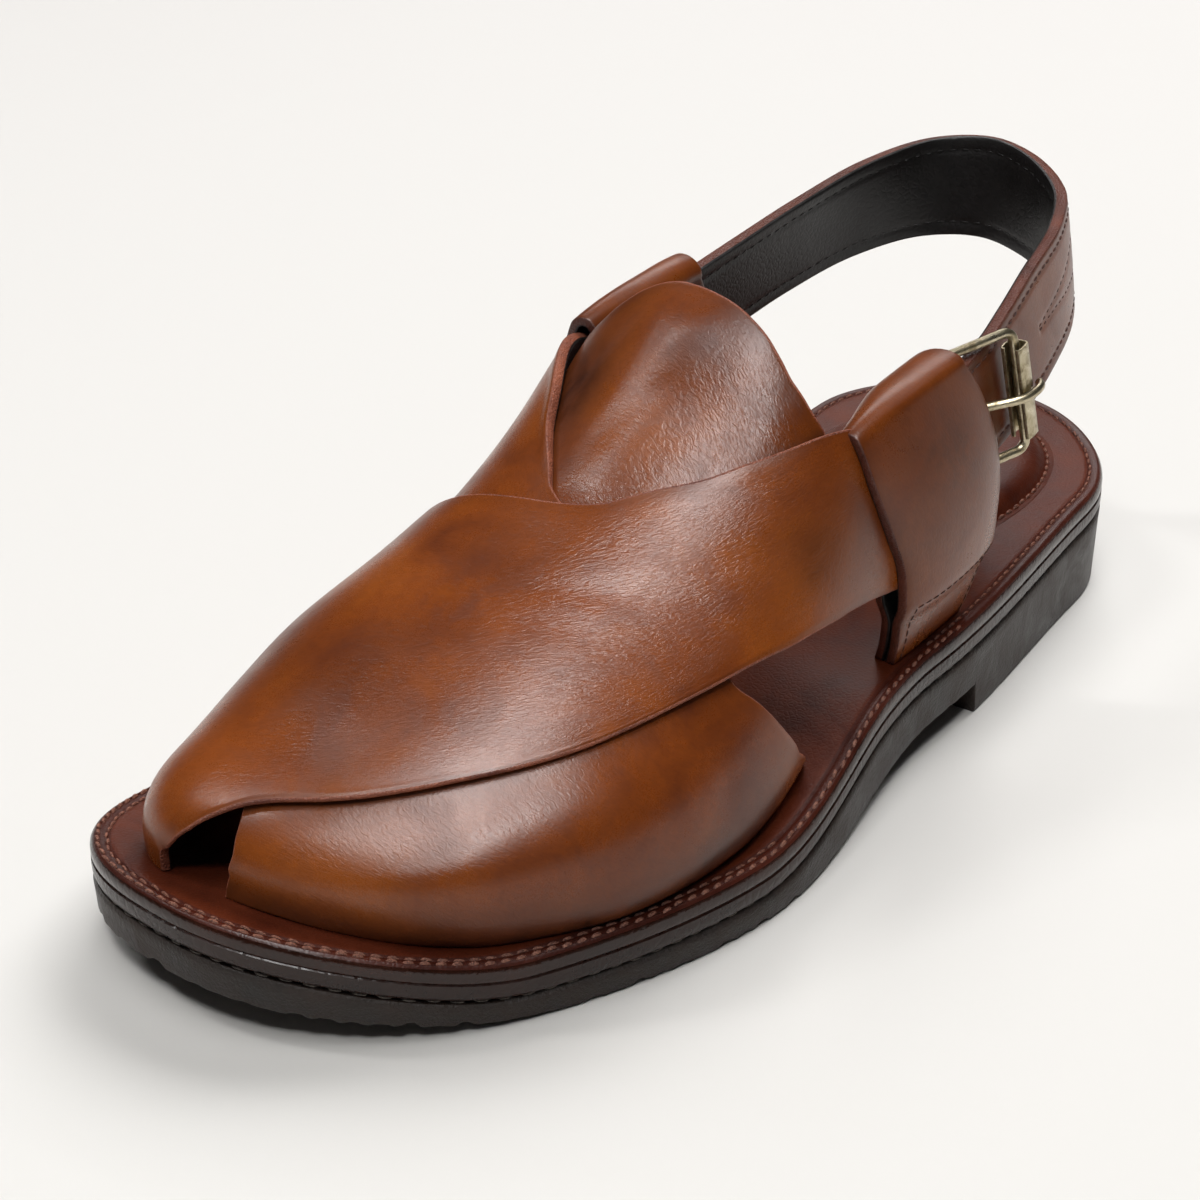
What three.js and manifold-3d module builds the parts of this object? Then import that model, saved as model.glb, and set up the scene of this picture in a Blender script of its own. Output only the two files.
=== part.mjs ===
// Peshawari chappal, left shoe. Millimetres, X to the toe, Y to the wearer's left, Z up, floor at zero.
import * as THREE from "three";
import { mergeVertices } from "three/addons/utils/BufferGeometryUtils.js";
import Module from "manifold-3d";

const wasm = await Module();
wasm.setup();

// Driving sizes of the shoe
const LENGTH = 292;
const HALF = LENGTH / 2;
const CENTRE_Y = 2.5;
const GAP = 0.3;
const LEATHER = 2.2;
const INSOLE_THICK = 4.0;
const MIDSOLE_THICK = 3.8;

// Sole in plan: centre line and half width over the length share s, with rounded ends
const SOLE_PLAN = [
  { s: 0.0, centre: -3.4, half: 35.1 },
  { s: 0.15, centre: 0.6, half: 42.1 },
  { s: 0.42, centre: 11.45, half: 39.95 },
  { s: 0.68, centre: 6.5, half: 54.0 },
  { s: 0.85, centre: -5.3, half: 53.2 },
  { s: 1.0, centre: -14.5, half: 49.5 },
];
const TOE_ROUND = { share: 0.255, power: 2.44 };
const HEEL_ROUND = { share: 0.131, power: 2.17 };

// Height of the insole's top over the length share s
const SOLE_TOP = [
  { s: 0.0, top: 30.0 },
  { s: 0.22, top: 27.7 },
  { s: 0.5, top: 25.4 },
  { s: 0.68, top: 14.9 },
  { s: 0.85, top: 14.2 },
  { s: 1.0, top: 25.4 },
];

// Underside: heel flat, breast step, shank, forefoot flat, toe spring
const BREAST_X = -43;
const BREAST_RUN = 0.8;
const BREAST_STEP = 7.5;
const TREAD_START = 44;
const TREAD_END = 92;
const TOE_SPRING = 9.0;
const NOTCH = { pitch: 11, width: 3.2, depth: 5, height: 1.8 };

// Last: a section per row, x along the foot, ridge place and height, half widths, squareness
const LAST = [
  { x: -60, ridge: 1.0, top: 114.0, lateral: 41.0, medial: 38.0, square: 2.9 },
  { x: -40, ridge: 0.0, top: 113.5, lateral: 43.0, medial: 36.0, square: 2.9 },
  { x: -20, ridge: -1.0, top: 110.0, lateral: 45.0, medial: 34.5, square: 2.8 },
  { x: 0, ridge: -3.0, top: 102.5, lateral: 48.0, medial: 34.0, square: 2.6 },
  { x: 20, ridge: -4.0, top: 86.0, lateral: 53.0, medial: 34.0, square: 2.4 },
  { x: 40, ridge: -4.0, top: 72.0, lateral: 57.5, medial: 35.5, square: 2.3 },
  { x: 60, ridge: -5.0, top: 62.5, lateral: 59.5, medial: 37.0, square: 2.2 },
  { x: 80, ridge: -7.0, top: 56.0, lateral: 59.5, medial: 37.0, square: 2.2 },
  { x: 100, ridge: -10.0, top: 49.5, lateral: 57.5, medial: 34.5, square: 2.2 },
  { x: 115, ridge: -13.0, top: 45.5, lateral: 57.0, medial: 33.0, square: 2.2 },
  { x: 125, ridge: -15.5, top: 44.5, lateral: 57.0, medial: 32.5, square: 2.2 },
  { x: 133, ridge: -17.0, top: 43.5, lateral: 57.0, medial: 32.0, square: 2.2 },
];
const LAST_TOE = { start: 60, end: 132.5, widePower: 2.2, highPower: 2.6 };
const BELT_SHARE = 0.21;
const FEATHER = 110;
const TUCK = 20;

// Wings on the last: angle from the ridge, plus to the lateral side, with the rear and front edge
const WING_OVER = [
  { angle: -110, rear: 26, front: 131.6 },
  { angle: -100, rear: 30.5, front: 131.6 },
  { angle: -89, rear: 36, front: 131.7 },
  { angle: -75, rear: 43, front: 131.7 },
  { angle: -55, rear: 48, front: 131.7 },
  { angle: -32, rear: 48.4, front: 131.7 },
  { angle: -15, rear: 47.8, front: 131.6 },
  { angle: -2, rear: 46.5, front: 131.4 },
  { angle: 6, rear: 44, front: 130.8 },
  { angle: 11.5, rear: 41, front: 128.3 },
  { angle: 15.2, rear: 37.4, front: 125 },
  { angle: 19.2, rear: 33.8, front: 122.2 },
  { angle: 27, rear: 27.6, front: 116.8 },
  { angle: 36, rear: 18.5, front: 105.6 },
  { angle: 43, rear: 11.6, front: 93.6 },
  { angle: 48, rear: 6.3, front: 80.4 },
  { angle: 53, rear: 0.6, front: 59.5 },
  { angle: 58, rear: -5.5, front: 45.6 },
  { angle: 66, rear: -14, front: 32.5 },
  { angle: 78, rear: -14, front: 15 },
  { angle: 86, rear: -14, front: 4 },
  { angle: 90, rear: -14, front: -3 },
  { angle: 93, rear: -14, front: -12 },
];
const WING_UNDER = [
  { angle: -93, rear: -14, front: -12 },
  { angle: -90, rear: -14, front: -3 },
  { angle: -86, rear: -14, front: 4 },
  { angle: -77, rear: -14, front: 16 },
  { angle: -65.5, rear: -14, front: 33.3 },
  { angle: -57.5, rear: -5, front: 46.8 },
  { angle: -50, rear: 3.5, front: 66 },
  { angle: -40, rear: 11, front: 85 },
  { angle: -32, rear: 17, front: 96 },
  { angle: -24.5, rear: 22.3, front: 102 },
  { angle: -14.8, rear: 30.3, front: 109 },
  { angle: -5.5, rear: 36.9, front: 114.5 },
  { angle: 2.4, rear: 43.2, front: 118.5 },
  { angle: 10, rear: 46.2, front: 122.5 },
  { angle: 16, rear: 47.6, front: 125.6 },
  { angle: 31.5, rear: 49.2, front: 129.2 },
  { angle: 45, rear: 49.8, front: 130.4 },
  { angle: 59, rear: 49, front: 131.1 },
  { angle: 67, rear: 46, front: 131.3 },
  { angle: 80, rear: 40.7, front: 131.4 },
  { angle: 89.3, rear: 35.8, front: 131.5 },
  { angle: 101, rear: 29.5, front: 131.6 },
  { angle: 110, rear: 25.5, front: 131.6 },
];
const WING_JOIN = 0.3;
const WING_LIFT_FROM = -98;
const WING_LIFT_TO = -62;

// Tongue on the last: angle from the ridge with the place of its rounded top edge
const TONGUE = [
  { angle: -50, tip: 5 },
  { angle: -34, tip: 3 },
  { angle: -22, tip: 0.6 },
  { angle: -11, tip: -1.8 },
  { angle: -5, tip: -3.4 },
  { angle: 0, tip: -4.2 },
  { angle: 6, tip: -3.2 },
  { angle: 16, tip: -0.8 },
  { angle: 27, tip: 1.6 },
  { angle: 36, tip: 3.4 },
  { angle: 44, tip: 5 },
  { angle: 50, tip: 7 },
];
const TONGUE_BASE = 66;
const TONGUE_DROP = 2.2;

// Quarters on the last: angle with rear and front edge, the same rows for both sides
const QUARTER = [
  { angle: 53, rear: -29, front: 2.5 },
  { angle: 63, rear: -35, front: 2.2 },
  { angle: 71, rear: -39.5, front: 0.5 },
  { angle: 79, rear: -43.5, front: -2.7 },
  { angle: 86, rear: -45.3, front: -6.6 },
  { angle: 92, rear: -44.5, front: -8.3 },
  { angle: 102, rear: -41.5, front: -10.2 },
  { angle: 110, rear: -39, front: -11.6 },
];
const SEAM_ANGLE = 102;
const LATERAL_SLEEVE = { topFront: 52, topRear: 60, back: 0, outer: 4.6, innerFront: 1.2, innerRear: -5.0, foot: 3.0 };
const MEDIAL_SLEEVE = { topFront: 51, topRear: 58, back: 6, outer: 2.7, innerFront: -0.4, innerRear: -2.1, foot: 1.6 };

// Heel strap: upper and lower edge of its middle layer, from the medial sleeve to the lateral one
const STRAP = [
  { xTop: -34, yTop: -33.6, zTop: 86, xLow: -36, yLow: -36.6, zLow: 63 },
  { xTop: -56, yTop: -31.8, zTop: 90.5, xLow: -57, yLow: -36, zLow: 67 },
  { xTop: -80, yTop: -30, zTop: 95, xLow: -79, yLow: -34, zLow: 71.5 },
  { xTop: -104, yTop: -27, zTop: 99, xLow: -101, yLow: -29.5, zLow: 75.5 },
  { xTop: -122, yTop: -20, zTop: 101.5, xLow: -118, yLow: -20.5, zLow: 78 },
  { xTop: -129, yTop: -8, zTop: 102.5, xLow: -125.5, yLow: -7, zLow: 79 },
  { xTop: -127, yTop: 4, zTop: 101.5, xLow: -124, yLow: 6.5, zLow: 78 },
  { xTop: -116, yTop: 19, zTop: 99, xLow: -115, yLow: 23.5, zLow: 75.5 },
  { xTop: -100, yTop: 27.5, zTop: 96.5, xLow: -102, yLow: 32, zLow: 73 },
  { xTop: -77, yTop: 34, zTop: 93.5, xLow: -80, yLow: 39.5, zLow: 70 },
  { xTop: -60, yTop: 38.2, zTop: 90, xLow: -63, yLow: 43, zLow: 66.5 },
  { xTop: -48, yTop: 40.6, zTop: 87.3, xLow: -51, yLow: 44.5, zLow: 63.8 },
  { xTop: -29, yTop: 42.3, zTop: 84, xLow: -32, yLow: 45.2, zLow: 60.5 },
];
const STRAP_THICK = 3.2;

// Buckle in the strap's own axes at its place on the strap
const BUCKLE_SHARE = 0.938;
const WIRE = 1.1;
const FRAME_FRONT = -8;
const FRAME_REAR = 9;
const FRAME_HALF = 14.2;
const ROLLER = { outer: 2.9, inner: 1.45, half: 10.6 };
const PRONG = 1.0;
const SLOT = { start: -11.5, end: 0.5, half: 1.7 };

// Heel pad on the seat
const PAD = { x: -87, y: 1.0, long: 42, wide: 29.5, power: 2.2, rise: 4.2 };

// Piecewise smooth curve through a table's rows that does not overshoot
function pchip(rows, key, value) {
  const n = rows.length;
  const h = rows.slice(1).map((r, i) => r[key] - rows[i][key]);
  const d = rows.slice(1).map((r, i) => (r[value] - rows[i][value]) / h[i]);
  const m = new Array(n).fill(0);
  for (let i = 1; i < n - 1; i++) {
    if (d[i - 1] * d[i] <= 0) continue;
    const a = 2 * h[i] + h[i - 1];
    const b = h[i] + 2 * h[i - 1];
    m[i] = (a + b) / (a / d[i - 1] + b / d[i]);
  }
  m[0] = d[0];
  m[n - 1] = d[n - 2];
  return (x) => {
    const t = THREE.MathUtils.clamp(x, rows[0][key], rows[n - 1][key]);
    let i = 0;
    while (i < n - 2 && t > rows[i + 1][key]) i++;
    const u = (t - rows[i][key]) / h[i];
    const u2 = u * u;
    const u3 = u2 * u;
    const from = (2 * u3 - 3 * u2 + 1) * rows[i][value] + (u3 - 2 * u2 + u) * h[i] * m[i];
    return from + (3 * u2 - 2 * u3) * rows[i + 1][value] + (u3 - u2) * h[i] * m[i + 1];
  };
}

const smooth = THREE.MathUtils.smoothstep;
const lerp = THREE.MathUtils.lerp;
const rad = THREE.MathUtils.degToRad;
const V = (x, y, z) => new THREE.Vector3(x, y, z);

// Closed solid from points and triangles, turned to face out
function solid(points, triangles) {
  const geometry = new THREE.BufferGeometry();
  const flat = points.flatMap((p) => [p.x, p.y, p.z]);
  geometry.setAttribute("position", new THREE.Float32BufferAttribute(flat, 3));
  geometry.setIndex(triangles.flat());
  return tidy(geometry);
}

// One vertex per place, no flat triangles, faces turned out
function tidy(geometry) {
  for (const name of ["normal", "uv"]) geometry.deleteAttribute(name);
  const merged = mergeVertices(geometry, 1e-4);
  const p = merged.getAttribute("position");
  const index = merged.index.array;
  const at = (i) => V(p.getX(i), p.getY(i), p.getZ(i));
  let kept = [];
  let volume = 0;
  for (let i = 0; i < index.length; i += 3) {
    const [a, b, c] = [index[i], index[i + 1], index[i + 2]];
    if (a === b || b === c || c === a) continue;
    kept.push([a, b, c]);
    volume += at(a).dot(at(b).cross(at(c)));
  }
  if (volume < 0) kept = kept.map(([a, b, c]) => [a, c, b]);
  merged.setIndex(kept.flat());
  return merged;
}

function toManifold(geometry) {
  const mesh = new wasm.Mesh({
    numProp: 3,
    vertProperties: new Float32Array(geometry.getAttribute("position").array),
    triVerts: new Uint32Array(geometry.index.array),
  });
  return new wasm.Manifold(mesh);
}

function fromManifold(body) {
  const mesh = body.getMesh();
  const geometry = new THREE.BufferGeometry();
  geometry.setAttribute("position", new THREE.Float32BufferAttribute(mesh.vertProperties, 3));
  geometry.setIndex(Array.from(mesh.triVerts));
  return tidy(geometry);
}

// Rings of equal count joined by walls and closed by strips across each end ring
function loft(rings) {
  const n = rings[0].length;
  const points = rings.flat();
  const triangles = [];
  for (let r = 0; r + 1 < rings.length; r++) {
    for (let i = 0; i < n; i++) {
      const a = r * n + i;
      const b = r * n + ((i + 1) % n);
      triangles.push([a, b, a + n], [b, b + n, a + n]);
    }
  }
  const last = (rings.length - 1) * n;
  for (let i = 0; i < n / 2; i++) {
    const j = n - i;
    const quad = [i % n, (i + 1) % n, (j - 1) % n, j % n];
    triangles.push([quad[0], quad[2], quad[1]], [quad[0], quad[3], quad[2]]);
    triangles.push(quad.slice(0, 3).map((k) => k + last), [quad[0], quad[2], quad[3]].map((k) => k + last));
  }
  return solid(points, triangles);
}

// Thick sheet over a grid, with one point for each face at every node
function sheet(rows, columns, place) {
  const outer = [];
  const inner = [];
  for (let i = 0; i <= rows; i++) {
    for (let j = 0; j <= columns; j++) {
      const pair = place(i / rows, j / columns);
      outer.push(pair.outer);
      inner.push(pair.inner);
    }
  }
  const w = columns + 1;
  const n = outer.length;
  const id = (i, j) => i * w + j;
  const triangles = [];
  const quad = (a, b, c, d) => triangles.push([a, b, c], [a, c, d]);
  for (let i = 0; i < rows; i++) {
    for (let j = 0; j < columns; j++) {
      quad(id(i, j), id(i, j + 1), id(i + 1, j + 1), id(i + 1, j));
      quad(id(i, j) + n, id(i + 1, j) + n, id(i + 1, j + 1) + n, id(i, j + 1) + n);
    }
  }
  for (let i = 0; i < rows; i++) {
    quad(id(i, 0), id(i + 1, 0), id(i + 1, 0) + n, id(i, 0) + n);
    quad(id(i + 1, columns), id(i, columns), id(i, columns) + n, id(i + 1, columns) + n);
  }
  for (let j = 0; j < columns; j++) {
    quad(id(0, j + 1), id(0, j), id(0, j) + n, id(0, j + 1) + n);
    quad(id(rows, j), id(rows, j + 1), id(rows, j + 1) + n, id(rows, j) + n);
  }
  return solid(outer.concat(inner), triangles);
}

// Sole
const planCentre = pchip(SOLE_PLAN, "s", "centre");
const planHalf = pchip(SOLE_PLAN, "s", "half");
const soleTopAt = pchip(SOLE_TOP, "s", "top");
const share = (x) => (x + HALF) / LENGTH;
const insoleTop = (x) => soleTopAt(share(x));

function endRound(s) {
  const toe = THREE.MathUtils.clamp((s - 1 + TOE_ROUND.share) / TOE_ROUND.share, 0, 1);
  const heel = THREE.MathUtils.clamp((HEEL_ROUND.share - s) / HEEL_ROUND.share, 0, 1);
  const atToe = (1 - toe ** TOE_ROUND.power) ** (1 / TOE_ROUND.power);
  return atToe * (1 - heel ** HEEL_ROUND.power) ** (1 / HEEL_ROUND.power);
}

function soleBottom(x) {
  if (x <= BREAST_X) return 0;
  const step = BREAST_STEP * Math.min((x - BREAST_X) / BREAST_RUN, 1);
  if (x < TREAD_START) return step * (1 - smooth(x, BREAST_X + 12, TREAD_START));
  if (x < TREAD_END) return 0;
  return TOE_SPRING * ((x - TREAD_END) / (HALF - TREAD_END)) ** 1.8;
}

const STATIONS = 42;
const stationX = [];
for (let i = 0; i <= STATIONS; i++) stationX.push(-HALF * Math.cos((Math.PI * i) / STATIONS));
for (const x of [BREAST_X, BREAST_X + BREAST_RUN, TREAD_START, TREAD_END]) {
  const near = stationX.reduce((best, v, i) => (Math.abs(v - x) < Math.abs(stationX[best] - x) ? i : best), 0);
  if (Math.abs(stationX[near] - x) > 1.5) stationX.push(x);
  else stationX[near] = x;
}
if (!stationX.includes(BREAST_X)) stationX.push(BREAST_X);
stationX.sort((a, b) => a - b);

function planPoint(i, side) {
  const s = share(stationX[i]);
  return new THREE.Vector2(stationX[i], planCentre(s) + side * planHalf(s) * endRound(s));
}

const planLoop = [];
for (let i = 0; i < stationX.length; i++) planLoop.push(planPoint(i, 1));
for (let i = stationX.length - 2; i > 0; i--) planLoop.push(planPoint(i, -1));

// Sole outline moved in by a margin, at a height given over its own x and its station's x
function soleRing(inset, heightAt) {
  const n = planLoop.length;
  return planLoop.map((p, i) => {
    const before = planLoop[(i + n - 1) % n];
    const after = planLoop[(i + 1) % n];
    const along = after.clone().sub(before).normalize();
    const q = new THREE.Vector2(p.x + along.y * inset, p.y - along.x * inset);
    return V(q.x, q.y, heightAt(q.x, p.x));
  });
}

const under = (depth) => (x) => insoleTop(x) - depth;
const MIDSOLE_TOP = INSOLE_THICK + GAP;
const OUTSOLE_TOP = MIDSOLE_TOP + MIDSOLE_THICK + GAP;

function makeInsole() {
  const t = INSOLE_THICK;
  return loft([soleRing(2.2, under(0)), soleRing(1.0, under(0.4)), soleRing(0.5, under(1.5)), soleRing(0.7, under(t))]);
}

function makeMidsole() {
  const top = MIDSOLE_TOP;
  const low = top + MIDSOLE_THICK;
  return loft([soleRing(0.9, under(top)), soleRing(0.2, under(top + 1)), soleRing(0.2, under(low - 0.8)),
    soleRing(1.0, under(low))]);
}

function makeOutsole() {
  const top = OUTSOLE_TOP;
  const ground = (x, station) => soleBottom(station);
  const lip = (x, station) => Math.max(insoleTop(x) - top - 1.0, soleBottom(station) + 2.6);
  const body = loft([soleRing(0.9, under(top)), soleRing(0.1, lip), soleRing(0.5, (x, station) => soleBottom(station) + 1.4),
    soleRing(1.6, ground)]);
  return fromManifold(notches().reduce((rest, cut) => rest.subtract(cut), toManifold(body)));
}

// Small notches along the lower edge of the tread
function notches() {
  const cuts = [];
  for (const side of [1, -1]) {
    let travelled = 0;
    for (let x = TREAD_START - 6; x < HALF - 10; x += 0.5) {
      const at = (v) => planCentre(share(v)) + side * planHalf(share(v)) * endRound(share(v));
      const slope = at(x + 0.5) - at(x);
      travelled += Math.hypot(0.5, slope);
      if (travelled < NOTCH.pitch) continue;
      travelled = 0;
      const box = new THREE.BoxGeometry(NOTCH.width, NOTCH.depth * 2, NOTCH.height * 2);
      box.rotateZ(Math.atan2(slope, 0.5));
      box.translate(x, at(x), soleBottom(x));
      cuts.push(toManifold(tidy(box)));
    }
  }
  return cuts;
}

function makeHeelPad() {
  const count = 40;
  const ring = (scale, lift) => Array.from({ length: count }, (_, i) => {
    const a = (2 * Math.PI * i) / count;
    const c = Math.cos(a);
    const s = Math.sin(a);
    const x = PAD.x + PAD.long * scale * Math.sign(c) * Math.abs(c) ** (2 / PAD.power);
    const y = PAD.y + PAD.wide * scale * Math.sign(s) * Math.abs(s) ** (2 / PAD.power);
    return V(x, y, insoleTop(x) + lift);
  });
  const low = GAP;
  return loft([ring(0.35, low + PAD.rise), ring(0.68, low + PAD.rise * 0.92), ring(0.88, low + PAD.rise * 0.62),
    ring(0.97, low + PAD.rise * 0.3), ring(1, low + 0.4), ring(1, low)]);
}

// Last as a surface over x and the angle from the ridge
const lastRidge = pchip(LAST, "x", "ridge");
const lastTop = pchip(LAST, "x", "top");
const lastLateral = pchip(LAST, "x", "lateral");
const lastMedial = pchip(LAST, "x", "medial");
const lastSquare = pchip(LAST, "x", "square");

function toeRound(x, power) {
  const u = THREE.MathUtils.clamp((x - LAST_TOE.start) / (LAST_TOE.end - LAST_TOE.start), 0, 1);
  return (1 - u ** power) ** (1 / power);
}

function lastPoint(x, angle) {
  const base = insoleTop(x) + GAP;
  const belt = base + BELT_SHARE * (lastTop(x) - base);
  const side = angle >= 0 ? lastLateral(x) : -lastMedial(x);
  const reach = side * toeRound(x, LAST_TOE.widePower);
  const rise = (lastTop(x) - belt) * toeRound(x, LAST_TOE.highPower);
  const a = Math.abs(angle);
  if (a <= 90) {
    const power = 2 / lastSquare(x);
    const across = Math.sin(rad(a)) ** power;
    const up = Math.max(Math.cos(rad(a)), 0) ** power;
    return V(x, lastRidge(x) + reach * across, belt + rise * up);
  }
  const tuck = rad(a - 90);
  const fall = Math.sin(tuck) / Math.sin(rad(TUCK));
  return V(x, lastRidge(x) + reach * Math.cos(tuck), belt - (belt - base) * fall);
}

function lastNormal(x, angle) {
  const dx = lastPoint(x + 0.05, angle).sub(lastPoint(x - 0.05, angle));
  const da = lastPoint(x, angle + 0.4).sub(lastPoint(x, angle - 0.4));
  return dx.cross(da).normalize();
}

// Point off the last by an offset, never into the insole
function offLast(x, angle, offset) {
  const p = lastPoint(x, angle).addScaledVector(lastNormal(x, angle), offset);
  p.z = Math.max(p.z, insoleTop(p.x) + GAP);
  return p;
}

// A wing: rows over the angle, columns from its rear to its front edge, closer at the toe
const WING_ROWS = 36;
const WING_COLUMNS = 15;
function makeWing(table, liftAt) {
  const rear = pchip(table, "angle", "rear");
  const front = pchip(table, "angle", "front");
  const first = table[0].angle;
  const final = table[table.length - 1].angle;
  return sheet(WING_ROWS, WING_COLUMNS, (u, v) => {
    const angle = lerp(first, final, u);
    const x = lerp(rear(angle), front(angle), 1 - (1 - v) ** 1.6);
    const lift = liftAt(angle);
    return { outer: offLast(x, angle, lift + LEATHER), inner: offLast(x, angle, lift) };
  });
}

function makeUpper() {
  const lift = (angle) => (LEATHER - WING_JOIN) * smooth(angle, WING_LIFT_FROM, WING_LIFT_TO);
  const over = makeWing(WING_OVER, lift);
  const beneath = makeWing(WING_UNDER, () => 0);
  return fromManifold(toManifold(over).add(toManifold(beneath)));
}

function makeTongue() {
  const tip = pchip(TONGUE, "angle", "tip");
  const edge = TONGUE[TONGUE.length - 1].angle;
  return sheet(18, 12, (u, v) => {
    const angle = lerp(-edge, edge, u);
    const narrow = lerp(1, 0.6, v);
    const x = lerp(tip(angle), TONGUE_BASE, v);
    const drop = TONGUE_DROP * (angle / edge) ** 2;
    const outer = offLast(x, angle * narrow, -GAP - drop);
    return { outer, inner: offLast(x, angle * narrow, -GAP - drop - LEATHER) };
  });
}

// A quarter: a sleeve of leather folded at the top, joined below its seam, open at front and rear
function makeQuarter(side, sleeve) {
  const rear = pchip(QUARTER, "angle", "rear");
  const front = pchip(QUARTER, "angle", "front");
  const columns = 8;
  const steps = 8;
  const bends = 6;
  const profile = (u, isTunnel) => {
    const top = lerp(sleeve.topRear, sleeve.topFront, u);
    const end = isTunnel ? SEAM_ANGLE : FEATHER;
    const across = isTunnel ? lerp(-0.08, 1.08, u) : u;
    const xAt = (angle) => lerp(rear(angle) - sleeve.back, front(angle), across);
    const shut = (angle) => smooth(angle, SEAM_ANGLE - 8, SEAM_ANGLE + 4);
    const wallOut = isTunnel ? 0 : LEATHER;
    const gapIn = lerp(sleeve.innerRear, sleeve.innerFront, smooth(u, 0.4, 1));
    const outAt = (angle) => lerp(sleeve.outer, sleeve.foot, shut(angle)) + wallOut;
    const inAt = (angle) => lerp(gapIn, sleeve.foot - 0.4, shut(angle)) - wallOut;
    const loop = [];
    for (let k = 0; k <= steps; k++) {
      const angle = lerp(end, top, k / steps);
      loop.push(offLast(xAt(angle), side * angle, outAt(angle)));
    }
    const middle = (outAt(top) + inAt(top)) / 2;
    const radius = (outAt(top) - inAt(top)) / 2;
    const n = lastNormal(xAt(top), side * top);
    const back = lastPoint(xAt(top), side * (top - 1)).sub(lastPoint(xAt(top), side * top)).normalize();
    const heart = lastPoint(xAt(top), side * top).addScaledVector(n, middle);
    for (let k = 1; k < bends; k++) {
      const a = (Math.PI * k) / bends;
      const q = heart.clone().addScaledVector(n, radius * Math.cos(a));
      loop.push(q.addScaledVector(back, Math.min(radius, 3.6) * Math.sin(a)));
    }
    for (let k = 0; k <= steps; k++) {
      const angle = lerp(top, end, k / steps);
      loop.push(offLast(xAt(angle), side * angle, inAt(angle)));
    }
    return loop;
  };
  const body = (isTunnel) => {
    const rings = [];
    for (let c = 0; c <= columns; c++) rings.push(profile(c / columns, isTunnel));
    return toManifold(loftEnds(rings));
  };
  return fromManifold(body(false).subtract(body(true)));
}

// Rings joined by walls, with each end closed between its two facing sides
function loftEnds(rings) {
  const n = rings[0].length;
  const triangles = [];
  for (let r = 0; r + 1 < rings.length; r++) {
    for (let i = 0; i < n; i++) {
      const a = r * n + i;
      const b = r * n + ((i + 1) % n);
      triangles.push([a, b, a + n], [b, b + n, a + n]);
    }
  }
  const last = (rings.length - 1) * n;
  for (let i = 0; i < Math.floor(n / 2); i++) {
    const j = n - 1 - i;
    const close = [i, i + 1, j - 1, j];
    triangles.push([close[0], close[2], close[1]], [close[0], close[3], close[2]]);
    triangles.push([close[0] + last, close[1] + last, close[2] + last]);
    triangles.push([close[0] + last, close[2] + last, close[3] + last]);
  }
  return solid(rings.flat(), triangles);
}

// Heel strap as a band between its two edge curves
const edgeCurve = (x, y, z) => new THREE.CatmullRomCurve3(STRAP.map((r) => V(r[x], r[y], r[z])), false, "centripetal");
const strapTop = edgeCurve("xTop", "yTop", "zTop");
const strapLow = edgeCurve("xLow", "yLow", "zLow");
function strapAxes(t) {
  const middle = strapTop.getPoint(t).add(strapLow.getPoint(t)).multiplyScalar(0.5);
  const across = strapTop.getPoint(t).sub(strapLow.getPoint(t)).normalize();
  const along = strapTop.getTangent(t).add(strapLow.getTangent(t)).normalize();
  const out = across.clone().cross(along).normalize();
  return { middle, across, along, out };
}

// A place in the buckle's axes: rearward along the strap, up across it, out from it
const buckleAxes = strapAxes(BUCKLE_SHARE);
function atBuckle(rearward, up, out) {
  const { middle, across, along, out: outward } = buckleAxes;
  const flat = along.clone().addScaledVector(across, -along.dot(across)).normalize();
  const p = middle.clone().addScaledVector(flat, -rearward);
  return p.addScaledVector(across, up).addScaledVector(outward, out);
}

function makeStrap() {
  const band = sheet(38, 4, (u, v) => {
    const { out } = strapAxes(u);
    const p = strapLow.getPoint(u).lerp(strapTop.getPoint(u), v);
    return {
      outer: p.clone().addScaledVector(out, STRAP_THICK / 2),
      inner: p.clone().addScaledVector(out, -STRAP_THICK / 2),
    };
  });
  const cut = [];
  for (const out of [-STRAP_THICK * 2, STRAP_THICK * 2]) {
    cut.push([atBuckle(SLOT.start, -SLOT.half, out), atBuckle(SLOT.end, -SLOT.half, out),
      atBuckle(SLOT.end, SLOT.half, out), atBuckle(SLOT.start, SLOT.half, out)]);
  }
  return fromManifold(toManifold(band).subtract(toManifold(loftEnds(cut))));
}

// Round wire along a closed or open run of points
function wire(points, radius, closed, runs, sides) {
  const curve = new THREE.CurvePath();
  const count = closed ? points.length : points.length - 1;
  for (let i = 0; i < count; i++) curve.add(new THREE.LineCurve3(points[i], points[(i + 1) % points.length]));
  const rings = [];
  const total = points.length;
  for (let i = 0; i < total; i++) {
    const before = points[closed ? (i + total - 1) % total : Math.max(i - 1, 0)];
    const after = points[closed ? (i + 1) % total : Math.min(i + 1, total - 1)];
    const along = after.clone().sub(before).normalize();
    const one = runs.clone().addScaledVector(along, -runs.dot(along)).normalize();
    const two = along.clone().cross(one).normalize();
    rings.push(Array.from({ length: sides }, (_, k) => {
      const a = (2 * Math.PI * k) / sides;
      const q = points[i].clone().addScaledVector(one, radius * Math.cos(a));
      return q.addScaledVector(two, radius * Math.sin(a));
    }));
  }
  if (!closed) return loftEnds(rings);
  const flat = rings.flat();
  const triangles = [];
  for (let r = 0; r < total; r++) {
    for (let k = 0; k < sides; k++) {
      const a = r * sides + k;
      const b = r * sides + ((k + 1) % sides);
      const c = ((r + 1) % total) * sides + k;
      const d = ((r + 1) % total) * sides + ((k + 1) % sides);
      triangles.push([a, b, c], [b, d, c]);
    }
  }
  return solid(flat, triangles);
}

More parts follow.
